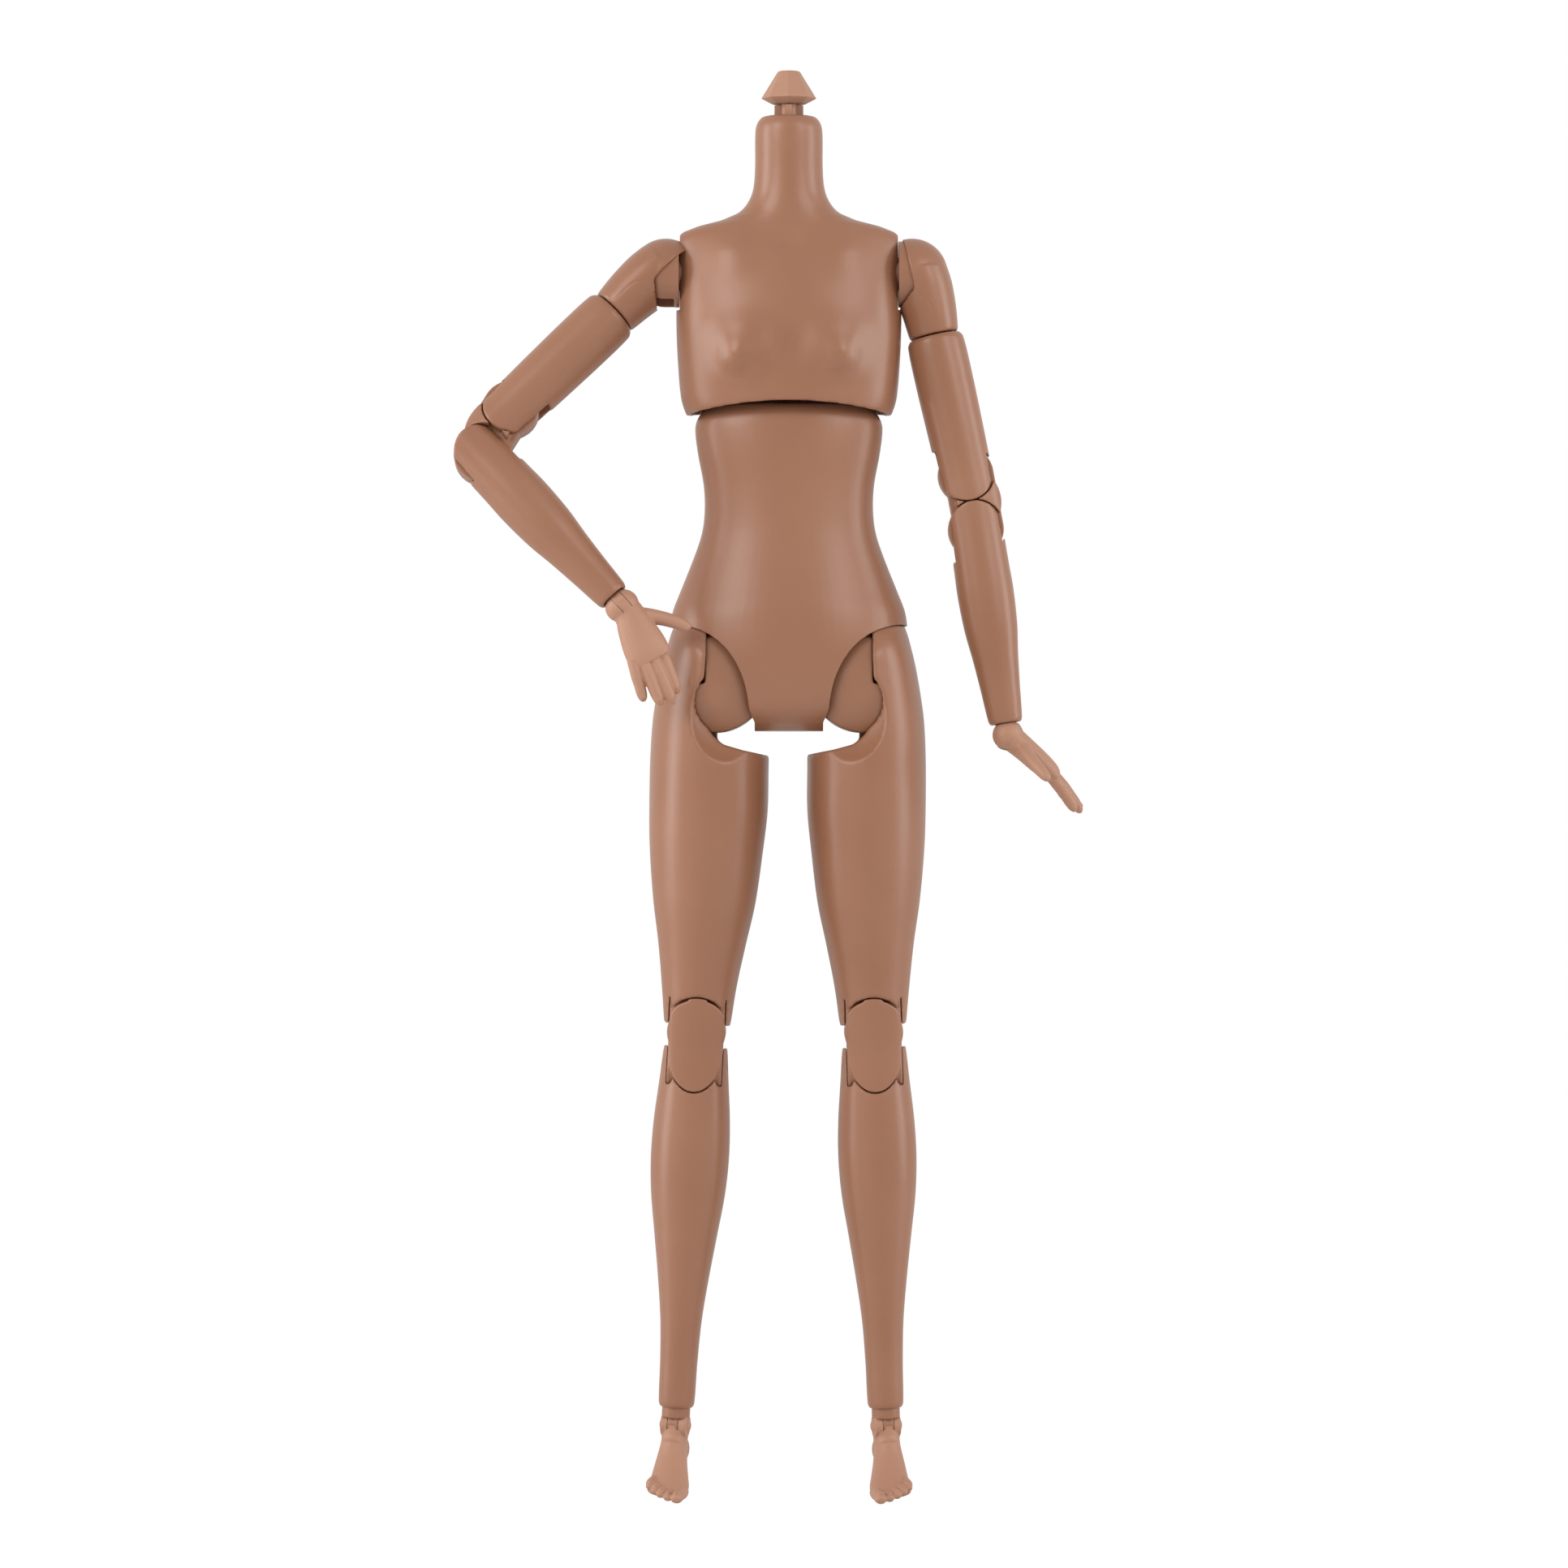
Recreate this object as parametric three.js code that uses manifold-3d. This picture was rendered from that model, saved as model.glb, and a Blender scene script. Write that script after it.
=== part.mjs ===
// A jointed fashion doll body at one sixth scale, without its head: a slim plastic figure with
// double-jointed elbows and knees, hinged wrists and ankles, ball hips, a turning waist and a faceted
// plug for the head. Millimetres, +Z up, the doll faces -Y and its left side is +X. Heights are counted
// from the tips of the toes, and the whole figure is lowered at the end so that the origin lies inside
// its waist, where a stand grips it.

import * as THREE from 'three';
import { mergeVertices } from 'three/addons/utils/BufferGeometryUtils.js';
import Module from 'manifold-3d';

const wasm = await Module();
wasm.setup();

// Clearances and the pins that all joints share
const runningGap = 0.3;
const partingGap = 0.12;
const snugGap = 0.2;
const pinRadius = 1.1;
const pinSides = 8;

// Legs, along each leg from the centre of the hip ball
const hipX = 14;
const hipSocketRadius = 13.7;
const hipBallRadius = hipSocketRadius - runningGap;
const hipBackCutRadius = 13;
const hipBackWallRise = 3;
const hipDiscRadius = 8.3;
const hipLobeRadius = 9.8;
const hipDomeReach = 11.8;
const hipDomeCurve = 15.5;
const hipTongueHalf = 2.2;
const hipEyeRadius = 2.4;
const hipMaxSpread = 38;
const hipAxleRadius = 2;
const hipAxleInset = 3.4;
const kneeUpperAlong = 60.8;
const kneeLinkLength = 13;
const kneeSlotHalf = 5.25;
const kneeHalfWidth = 4.9;
const kneeRadius = 4.4;
const kneeForkReach = 4.8;
const calfForkReach = 4;
const calfLength = 65;
const anklePegRadius = 2;
const anklePegDepth = 8;
const ankleGap = 3.4;
const ankleTongueHalf = 1;
const footDrop = 13.3;

// Heights of the figure, each from the one below it
const hipHeight = kneeUpperAlong + kneeLinkLength + calfLength + ankleGap + footDrop;
const crotchDrop = 9.5;
const crotchHalfWidth = 6.5;
const waistHeight = hipHeight + 31.5;
const lipCentreHeight = waistHeight + 21.4;
const waistPivotHeight = waistHeight + 27.5;
const shoulderHeight = waistHeight + 46.2;
const neckTopHeight = shoulderHeight + 30.1;

// Waist joint, and the lip of the chest that arches over the belly
const lipArch = 2.4;
const lipHalfWidth = 20;
const chestWall = 1.6;
const lipWall = 1;
const chestCavityRise = 7.5;
const waistBallRadius = 4.4;
const waistYokeWall = 1.3;
const waistPostRadius = 2.2;
const waistPostDepth = 14;

// Neck and the plug that the head is pushed onto
const neckTopRadius = 5.1;
const neckBoreRadius = 3.9;
const neckBarrelHeight = 12.7;
const neckPivotDepth = 4;
const stemRadius = 2.75;
const stemCoreRadius = 1.5;
const stemCoreDepth = 3;
const stemRibWidth = 1.3;
const knobLift = 2.4;
const knobRimRise = 1.1;
const knobHeight = 6.3;
const knobFootRadius = 3.2;
const knobRimRadius = 5.3;
const knobTopRadius = 2.1;
const knobFlats = 8;

// Shoulders and arms, along each arm from the shoulder pivot
const armSeamX = 20.8;
const shoulderPivotX = 23.5;
const shoulderRadius = 6.4;
const shoulderAxleRadius = 3.2;
const shoulderAxleLength = 7;
const shoulderFlangeRadius = 4.6;
const shoulderFlangeLength = 2;
const shoulderTongueHalf = 2.2;
const armOffset = 1.6;
const capEnd = 12.4;
const capPegRadius = 3;
const capPegLength = 6;
const elbowUpperAlong = 39.8;
const elbowLinkLength = 10.6;
const elbowRadius = 5.2;
const elbowPlateHalf = 2;
const elbowHalfDepth = 5;
const forearmLength = 36.4;
const wristPegRadius = 2.1;
const wristPegDepth = 6.5;
const wristPivotAlong = 3.2;
const wristTongueHalf = 1;

// The pose of the photograph, in degrees
const rightArm = { swing: 13, raise: 45, upperFlex: 14.4, lowerFlex: 73, wristTurn: 90, wristBend: 0 };
const leftArm = { swing: 3, raise: 12.5, upperFlex: 2, lowerFlex: 1.8, wristTurn: 0, wristBend: 42 };
const rightLeg = { spread: 3.1, footTurn: 14 };
const leftLeg = { spread: 1.85, footTurn: 12 };

const degrees = Math.PI / 180;

// Materials: a satin skin plastic, a paler soft vinyl for hands, feet and plug, and nylon for what is inside
function plastic(color, roughness) {
  return new THREE.MeshStandardMaterial({ color, roughness, metalness: 0 });
}
const skinColour = 0xa87a60;
const vinylColour = 0xbd9078;
const nylonColour = 0x9c7058;

// Closed meshes to solids and back. The library for booleans is used for joining and cutting only.
function solid(geometry) {
  const bare = geometry.clone();
  bare.deleteAttribute('normal');
  bare.deleteAttribute('uv');
  const merged = mergeVertices(bare, 1e-4);
  const vertProperties = merged.attributes.position.array;
  const triVerts = new Uint32Array(merged.index.array);
  const body = new wasm.Manifold(new wasm.Mesh({ numProp: 3, vertProperties, triVerts }));
  if (body.volume() > 0) {
    return body;
  }
  triVerts.reverse();
  return new wasm.Manifold(new wasm.Mesh({ numProp: 3, vertProperties, triVerts }));
}

function geometryOf(body) {
  const mesh = body.getMesh();
  const geometry = new THREE.BufferGeometry();
  const position = new Float32Array(mesh.vertProperties);
  geometry.setAttribute('position', new THREE.BufferAttribute(position, mesh.numProp));
  geometry.setIndex(new THREE.BufferAttribute(new Uint32Array(mesh.triVerts), 1));
  geometry.computeVertexNormals();
  return geometry;
}

function cut(body, ...tools) {
  return tools.reduce((left, tool) => left.subtract(tool), body);
}

function join(body, ...others) {
  return others.reduce((sum, other) => sum.add(other), body);
}

function common(body, ...others) {
  return others.reduce((left, other) => left.intersect(other), body);
}

// A skin over a row of rings of equal count, closed by a flat fan at each end
function skin(rings) {
  const count = rings[0].length;
  const points = [];
  const faces = [];
  for (const ring of rings) {
    points.push(...ring);
  }
  for (let r = 0; r < rings.length - 1; r += 1) {
    for (let i = 0; i < count; i += 1) {
      const a = r * count + i;
      const b = r * count + ((i + 1) % count);
      faces.push(a, b, b + count, a, b + count, a + count);
    }
  }
  for (const end of [0, rings.length - 1]) {
    const middle = new THREE.Vector3();
    rings[end].forEach((point) => middle.addScaledVector(point, 1 / count));
    points.push(middle);
    for (let i = 0; i < count; i += 1) {
      const a = end * count + i;
      const b = end * count + ((i + 1) % count);
      faces.push(points.length - 1, end === 0 ? b : a, end === 0 ? a : b);
    }
  }
  const geometry = new THREE.BufferGeometry().setFromPoints(points);
  geometry.setIndex(faces);
  return geometry;
}

// A limb or body section: an oval with its own reach outward, inward, to the front and to the back
function oval(z, outer, inner, front, back, sides) {
  const ring = [];
  for (let i = 0; i < sides; i += 1) {
    const angle = ((i + 0.5) / sides) * 2 * Math.PI;
    const across = Math.cos(angle);
    const along = Math.sin(angle);
    const reachX = across > 0 ? outer : inner;
    const reachY = along > 0 ? back : front;
    ring.push(new THREE.Vector3(across * reachX, along * reachY, z));
  }
  return ring;
}

// Rows of [z, outer, inner, front, back] are drawn through by smooth curves and skinned
function loft(rows, { step = 10, sides = 14, x = 0 } = {}) {
  const slope = (k, column) => {
    const before = rows[Math.max(k - 1, 0)];
    const after = rows[Math.min(k + 1, rows.length - 1)];
    return (after[column] - before[column]) / (after[0] - before[0]);
  };
  const rings = [oval(...rows[0], sides)];
  for (let k = 0; k < rows.length - 1; k += 1) {
    const span = rows[k + 1][0] - rows[k][0];
    const parts = Math.max(1, Math.round(Math.abs(span) / step));
    for (let part = 1; part <= parts; part += 1) {
      const t = part / parts;
      const row = rows[k].map((low, column) => {
        if (column === 0) {
          return low + span * t;
        }
        const high = rows[k + 1][column];
        const start = slope(k, column) * span;
        const finish = slope(k + 1, column) * span;
        const curve = (2 * t ** 3 - 3 * t ** 2 + 1) * low + (t ** 3 - 2 * t ** 2 + t) * start;
        return curve + (3 * t ** 2 - 2 * t ** 3) * high + (t ** 3 - t ** 2) * finish;
      });
      rings.push(oval(...row, sides));
    }
  }
  return solid(moved(skin(rings), x, 0, 0));
}

// Simple solids, each placed where it is needed
function moved(geometry, x, y, z) {
  return geometry.translate(x, y, z);
}

function box(x0, x1, y0, y1, z0, z1) {
  const geometry = new THREE.BoxGeometry(x1 - x0, y1 - y0, z1 - z0);
  return solid(moved(geometry, (x0 + x1) / 2, (y0 + y1) / 2, (z0 + z1) / 2));
}

function sphere(radius, x, y, z, sides = 20) {
  return solid(moved(new THREE.SphereGeometry(radius, sides, Math.round(sides / 2)), x, y, z));
}

// A revolved profile of [radius, distance] along an axis, which starts and ends on that axis
function turned(profile, axis, x, y, z, sides = 20) {
  const points = profile.map(([radius, distance]) => new THREE.Vector2(radius, distance));
  const geometry = new THREE.LatheGeometry(points, sides);
  if (axis === 'x') {
    geometry.rotateZ(-Math.PI / 2);
  }
  if (axis === 'z') {
    geometry.rotateX(Math.PI / 2);
  }
  return solid(moved(geometry, x, y, z));
}

function rod(radius, from, to, axis, x, y, z, sides = 16) {
  return turned([[0, from], [radius, from], [radius, to], [0, to]], axis, x, y, z, sides);
}

// A flat outline in the XZ plane, given as a Shape, made as deep as from y0 to y1
function plate(shape, y0, y1, curveSegments = 10) {
  const settings = { depth: y1 - y0, bevelEnabled: false, curveSegments };
  const geometry = new THREE.ExtrudeGeometry(shape, settings);
  geometry.rotateX(Math.PI / 2);
  return solid(moved(geometry, 0, y1, 0));
}

// A round limb along a path: each station is [x, y, z, half width across X, half thickness]
function limb(stations, sides, across = new THREE.Vector3(1, 0, 0)) {
  const path = stations.map(([x, y, z]) => new THREE.Vector3(x, y, z));
  const rings = stations.map(([, , , width, thickness], k) => {
    const before = path[Math.max(k - 1, 0)];
    const after = path[Math.min(k + 1, path.length - 1)];
    const along = new THREE.Vector3().subVectors(after, before).normalize();
    const thick = new THREE.Vector3().crossVectors(along, across).normalize();
    const wide = new THREE.Vector3().crossVectors(thick, along).normalize();
    const ring = [];
    for (let i = 0; i < sides; i += 1) {
      const angle = ((i + 0.5) / sides) * 2 * Math.PI;
      const point = path[k].clone().addScaledVector(wide, width * Math.cos(angle));
      ring.push(point.addScaledVector(thick, thickness * Math.sin(angle)));
    }
    return ring;
  });
  return solid(skin(rings));
}

// A piece of the right side is the left one seen in a mirror
function forSide(body, side) {
  const geometry = geometryOf(body);
  if (side > 0) {
    return geometry;
  }
  geometry.scale(-1, 1, 1);
  const index = geometry.index.array;
  for (let i = 0; i < index.length; i += 3) {
    [index[i + 1], index[i + 2]] = [index[i + 2], index[i + 1]];
  }
  geometry.computeVertexNormals();
  return geometry;
}

function addMesh(parent, name, geometry, material) {
  const mesh = new THREE.Mesh(geometry, material);
  mesh.name = name;
  parent.add(mesh);
  return mesh;
}

function frameAt(parent, x, y, z) {
  const group = new THREE.Group();
  group.position.set(x, y, z);
  parent.add(group);
  return group;
}

function egg(reachX, reachY, reachZ, x, y, z, sides = 16) {
  const geometry = new THREE.SphereGeometry(1, sides, Math.round(sides / 2));
  geometry.scale(reachX, reachY, reachZ);
  return solid(moved(geometry, x, y, z));
}

// A piece and its mirror image, joined, as the two sides of the torso are
function bothSides(make) {
  return join(make(1), make(-1));
}

const figure = new THREE.Group();
const doll = frameAt(figure, 0, 0, -waistHeight);

// Farther than any piece reaches from its own frame, for the cutters that go right through
const beyond = 60;

// Rows of sections that keep their distance from one landmark of the figure
function from(height, rows) {
  return rows.map(([z, ...reach]) => [height + z, ...reach]);
}

// The chest ends in a lip that arches over the belly. All that lies below that arch:
const lipRadius = (lipHalfWidth ** 2 + lipArch ** 2) / (2 * lipArch);

function belowLip() {
  const reach = lipHalfWidth + 8;
  const angle = Math.asin(reach / lipRadius);
  const shape = new THREE.Shape();
  shape.absarc(0, lipCentreHeight - lipRadius, lipRadius, Math.PI / 2 - angle, Math.PI / 2 + angle);
  shape.lineTo(-reach, lipCentreHeight - beyond);
  shape.lineTo(reach, lipCentreHeight - beyond);
  return plate(shape, -beyond, beyond, 8);
}

// Torso: pelvis and belly in one, split into a front and a back half, hollow behind the belly
const bellyWall = 2.2;
const bellyCavityBottom = hipHeight + 16.5;
const bellyCavityTop = waistHeight + 7;
const postFlangeRadius = 3.4;
const postFlangeHeight = 2;
const torsoRows = [
  ...from(hipHeight, [
    [-crotchDrop, 10.5, 10.5, 6.5, 7.5],
    [1.5 - crotchDrop, 13.5, 13.5, 9.4, 10],
    [-5.5, 17, 17, 12, 12.6],
    [0, 21, 21, 13.8, 14.6],
    [5.5, 22.6, 22.6, 14.3, 15.2],
    [12.5, 22.4, 22.4, 13.8, 14.6],
    [17, 20.8, 20.8, 12.7, 13.2],
    [21.7, 18.9, 18.9, 11.7, 11.6],
  ]),
  ...from(waistHeight, [
    [-3.6, 16.7, 16.7, 10.8, 9.9],
    [1, 16.1, 16.1, 10.5, 9.3],
    [6, 16.3, 16.3, 10.4, 9.2],
  ]),
  ...from(lipCentreHeight, [
    [-9.4, 17.4, 17.4, 10.4, 9.2],
    [-4.4, 17.9, 17.9, 10.1, 9],
    [-2.2, 17.1, 17.1, 9.7, 8.7],
    [-0.2, 15.2, 15.2, 8.6, 7.6],
  ]),
];
const bellyTopHeight = lipCentreHeight + 0.9;
const bellyDomeRise = 4;

function hipSocket(side) {
  const open = sphere(hipSocketRadius, side * hipX, 0, hipHeight, 20);
  const behind = cut(
    rod(hipBackCutRadius, 0, beyond, 'y', side * hipX, 0, hipHeight, 20),
    box(-beyond, beyond, 0, 2 * beyond, hipHeight + hipBackWallRise, hipHeight + beyond),
  );
  const wallX = side * crotchHalfWidth;
  const [left, right] = [Math.min(0, wallX), Math.max(0, wallX)];
  const septum = box(left, right, -beyond, beyond, hipHeight - beyond, hipHeight + beyond);
  return cut(join(open, behind), septum);
}

function torsoBody() {
  const outer = loft(torsoRows, { sides: 22 });
  const dome = egg(15, 8, bellyDomeRise, 0, 0, bellyTopHeight - bellyDomeRise, 20);
  const inside = torsoRows
    .filter(([z]) => z > bellyCavityBottom && z < bellyCavityTop)
    .map(([z, ...reach]) => [z, ...reach.map((value) => value - bellyWall)]);
  const cavity = loft(inside, { step: 20, sides: 12 });
  const postBottom = waistPivotHeight - waistPostDepth - runningGap;
  const bore = rod(waistPostRadius + runningGap, postBottom, bellyTopHeight + 1, 'z', 0, 0, 0, 12);
  const flangeTop = postBottom + postFlangeHeight + 2 * runningGap;
  const flangePocket = rod(postFlangeRadius + runningGap, postBottom, flangeTop, 'z', 0, 0, 0, 12);
  const axleBore = rod(hipAxleRadius + runningGap, -hipX, hipX, 'x', 0, 0, hipHeight, 12);
  return cut(join(outer, dome), bothSides(hipSocket), cavity, bore, flangePocket, axleBore);
}

function halves(body, seamY) {
  const far = neckTopHeight + beyond;
  const front = box(-far, far, -far, seamY - partingGap / 2, -far, far);
  const back = box(-far, far, seamY + partingGap / 2, far, -far, far);
  return [common(body, front), common(body, back)];
}

const skinPlastic = { color: skinColour, roughness: 0.42 };
const vinyl = { color: vinylColour, roughness: 0.5 };
const nylon = { color: nylonColour, roughness: 0.35 };

function add(parent, name, body, finish, side = 1) {
  return addMesh(parent, name, forSide(body, side), plastic(finish.color, finish.roughness));
}

const [torsoFront, torsoBack] = halves(torsoBody(), 0);
add(doll, 'torso_front', torsoFront, skinPlastic);
add(doll, 'torso_back', torsoBack, skinPlastic);
const hipAxleReach = hipX - hipAxleInset;
add(doll, 'hip_axle', rod(hipAxleRadius, -hipAxleReach, hipAxleReach, 'x', 0, 0, hipHeight), nylon);

// Waist: a post in the belly carries a ball that turns on it, a ring that tips sideways over the ball,
// and a cup in the chest that tips forward and back over the ring
const waist = frameAt(doll, 0, 0, waistPivotHeight);
const postTop = 1.7;
const waistYokeRadius = waistBallRadius + runningGap + waistYokeWall;
const waistYokeHalfHeight = 3;
const waistCupRadius = waistYokeRadius + runningGap;
const waistCupOuterRadius = 8.2;
const waistCupBottom = -3.2;

function waistPost() {
  const stem = rod(waistPostRadius, -waistPostDepth, postTop, 'z', 0, 0, 0, 12);
  const flangeTop = -waistPostDepth + postFlangeHeight;
  const flange = rod(postFlangeRadius, -waistPostDepth, flangeTop, 'z', 0, 0, 0, 12);
  return join(stem, flange);
}

function waistYoke() {
  const shell = cut(sphere(waistYokeRadius, 0, 0, 0, 14), sphere(waistBallRadius + runningGap, 0, 0, 0, 14));
  const reach = waistYokeRadius + 1;
  return common(shell, box(-reach, reach, -reach, reach, -waistYokeHalfHeight, waistYokeHalfHeight));
}

add(waist, 'waist_post', waistPost(), nylon);

function waistBall() {
  const boreTop = postTop + runningGap;
  const bore = rod(waistPostRadius + runningGap, -waistBallRadius - 1, boreTop, 'z', 0, 0, 0, 12);
  return cut(sphere(waistBallRadius, 0, 0, 0, 14), bore);
}

add(waist, 'waist_ball', waistBall(), nylon);
add(waist, 'waist_yoke', waistYoke(), nylon);

function waistCup() {
  const top = chestCavityRise - runningGap;
  const block = rod(waistCupOuterRadius, waistCupBottom, top, 'z', 0, 0, 0, 14);
  return cut(block, sphere(waistCupRadius, 0, 0, 0, 14));
}

add(waist, 'waist_cup', waistCup(), nylon);

// Chest and neck: one moulding in two halves, a shell below and solid round the shoulder axles
const chest = frameAt(doll, 0, 0, 0);
const chestRows = [
  ...from(lipCentreHeight, [
    [-4.4, 18.4, 18.4, 12, 10.8],
    [-1.8, 19.7, 19.7, 12.8, 11.3],
    [1.1, 20.6, 20.6, 13.1, 11.6],
  ]),
  ...from(shoulderHeight, [
    [-15.2, 21.3, 21.3, 13.1, 11.6],
    [-9.2, 21.5, 21.5, 12.7, 11.5],
    [-3.2, 21.2, 21.2, 11.6, 11.2],
    [2.8, 21, 21, 9.6, 10],
    [6.4, 20.8, 20.8, 8, 8.6],
    [8.1, 19.9, 19.9, 7.3, 7.9],
    [9.2, 17.4, 17.4, 7, 7.6],
    [10.3, 13, 13, 6.9, 7.4],
    [11.6, 9.9, 9.9, 6.8, 7.2],
    [13.2, 8.2, 8.2, 6.7, 7],
    [15.8, 6.95, 6.95, 6.5, 6.7],
    [19.8, 6.5, 6.5, 6.4, 6.5],
  ]),
  ...from(neckTopHeight, [
    [-2.5, 6.4, 6.4, 6.4, 6.4],
    [-0.9, 5.9, 5.9, 5.9, 5.9],
    [0, neckTopRadius, neckTopRadius, neckTopRadius, neckTopRadius],
  ]),
];
const bustHeight = shoulderHeight - 15.9;
const bustSpacing = 9.8;
const bustDepth = 6.5;
const bustRise = 13.9;

function shoulderBore() {
  const start = -shoulderAxleLength - shoulderFlangeLength - runningGap;
  const end = -shoulderAxleLength + runningGap;
  const bore = (radius, to) => rod(radius + runningGap, start, to, 'x', armSeamX, 0, shoulderHeight, 14);
  const faceBottom = shoulderHeight - shoulderRadius - runningGap;
  const face = box(armSeamX, beyond, -beyond, beyond, faceBottom, shoulderHeight + beyond);
  return join(bore(shoulderAxleRadius, 10), bore(shoulderFlangeRadius, end), face);
}

// The inside of the chest: its rows drawn in by the wall, which is thinner at the lip
function chestCavity() {
  const cavityTop = waistPivotHeight + chestCavityRise;
  const wallAt = (z) => (z < lipCentreHeight + 2 ? lipWall : chestWall);
  const inside = chestRows
    .filter(([z]) => z < cavityTop)
    .map(([z, ...reach]) => [z, ...reach.map((value) => value - wallAt(z))]);
  const mouth = inside[0].slice(1);
  const roof = inside[inside.length - 1].slice(1);
  const rows = [[inside[0][0] - 1, ...mouth], ...inside, [cavityTop, ...roof]];
  return loft(rows, { step: 20, sides: 14 });
}

function chestBody() {
  const outer = loft(chestRows, { sides: 22 });
  const breastY = bustDepth - bustRise;
  const breast = (side) => egg(8.8, bustDepth, 8.8, side * bustSpacing, breastY, bustHeight, 14);
  const boreBottom = neckTopHeight - neckBarrelHeight - runningGap;
  const neckBore = rod(neckBoreRadius, boreBottom, neckTopHeight + 1, 'z', 0, 0, 0, 14);
  const bores = bothSides((side) => solid(forSide(shoulderBore(), side)));
  return cut(join(outer, bothSides(breast)), belowLip(), chestCavity(), neckBore, bores);
}

const [chestFront, chestBack] = halves(chestBody(), 0);
add(chest, 'chest_front', chestFront, skinPlastic);
add(chest, 'chest_back', chestBack, skinPlastic);

// Neck: a barrel turns in the neck's bore, and the stem of the head plug nods on a pin through its fork
const neck = frameAt(doll, 0, 0, neckTopHeight - neckPivotDepth);
const neckForkHalf = 1.5;
const neckEyeHalf = neckForkHalf - runningGap;
const neckEyeRadius = 1.75;
const neckPinRadius = 0.8;
const neckForkBottom = -neckEyeRadius - 0.7;
const barrelTop = neckPivotDepth - 1.7;
const stemBottom = neckPivotDepth - 0.8;
const knobBottom = neckPivotDepth + knobLift;

function neckBarrel() {
  const bottom = neckPivotDepth - neckBarrelHeight;
  const barrel = rod(neckBoreRadius - runningGap, bottom, barrelTop, 'z', 0, 0, 0, 14);
  const fork = box(-neckForkHalf, neckForkHalf, -beyond, beyond, neckForkBottom, barrelTop + 1);
  return cut(barrel, fork, rod(neckPinRadius + snugGap, -beyond, beyond, 'x', 0, 0, 0, pinSides));
}

function neckPost() {
  const eye = rod(neckEyeRadius, -neckEyeHalf, neckEyeHalf, 'x', 0, 0, 0, 14);
  const web = box(-neckEyeHalf, neckEyeHalf, -neckEyeHalf, neckEyeHalf, 0, stemBottom + 0.5);
  const core = rod(stemCoreRadius, stemBottom, knobBottom + stemCoreDepth, 'z', 0, 0, 0, 12);
  const halfRib = stemRibWidth / 2;
  const ribTop = knobBottom - runningGap;
  const ribX = box(-stemRadius, stemRadius, -halfRib, halfRib, stemBottom, ribTop);
  const ribY = box(-halfRib, halfRib, -stemRadius, stemRadius, stemBottom, ribTop);
  const bore = rod(neckPinRadius + snugGap, -beyond, beyond, 'x', 0, 0, 0, pinSides);
  return cut(join(eye, web, core, ribX, ribY), bore);
}

function neckKnob() {
  const rim = [knobRimRadius, knobRimRise];
  const profile = [[0, 0], [knobFootRadius, 0], rim, [knobTopRadius, knobHeight], [0, knobHeight]];
  const cone = turned(profile, 'z', 0, 0, knobBottom, knobFlats);
  const boreTop = stemCoreDepth + runningGap;
  return cut(cone, rod(stemCoreRadius + runningGap, -1, boreTop, 'z', 0, 0, knobBottom, 12));
}

add(neck, 'neck_barrel', neckBarrel(), nylon);
const neckPinReach = neckBoreRadius - runningGap - 0.6;
add(neck, 'neck_pin', rod(neckPinRadius, -neckPinReach, neckPinReach, 'x', 0, 0, 0, pinSides), nylon);
add(neck, 'neck_post', neckPost(), vinyl);
add(neck, 'neck_knob', neckKnob(), vinyl);

// Arms, drawn for the left side in a frame at the shoulder pivot: -Z runs down the arm and +X points outward
const tonguePinRadius = 0.9;
const tongueEyeRadius = 2.1;
const tongueBarHalf = 1.3;
const shoulderPinHalf = 4.9;
const wristPinHalf = 2.2;
const capRows = [
  [0.4, 5, 5.6, 6, 6],
  [-4, 5.4, 5.5, 6, 6],
  [-8, 5.2, 5.1, 5.7, 5.7],
  [-capEnd, 4.7, 4.7, 5.1, 5.1],
];
const upperArmRows = [
  [-capEnd - runningGap, 4.9, 4.9, 5, 5],
  [-capEnd - 1.3, 5.4, 5.4, 5.4, 5.4],
  [-20, 5.55, 5.55, 5.5, 5.5],
  [-31, 5.4, 5.4, 5.3, 5.3],
  [-elbowUpperAlong, elbowRadius, elbowRadius, elbowHalfDepth, elbowHalfDepth],
];
const forearmRows = [
  [0, 5, 5, elbowHalfDepth, elbowHalfDepth],
  [-7.4, 5.3, 5.3, 5.2, 5.2],
  [-12, 5.4, 5.4, 5.2, 5.2],
  [-18.8, 5.1, 5.1, 4.9, 4.9],
  [-24.5, 4.4, 4.4, 4.2, 4.2],
  ...from(-forearmLength, [
    [5.9, 3.8, 3.8, 3.6, 3.6],
    [1.4, 3.3, 3.3, 3.2, 3.2],
    [0, 2.95, 2.95, 2.9, 2.9],
  ]),
];

// The hole for a pin that goes right through a piece, along an axis at a given height
function pinHole(radius, axis, z = 0) {
  return rod(radius + snugGap, -beyond, beyond, axis, 0, 0, z, pinSides);
}

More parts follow.
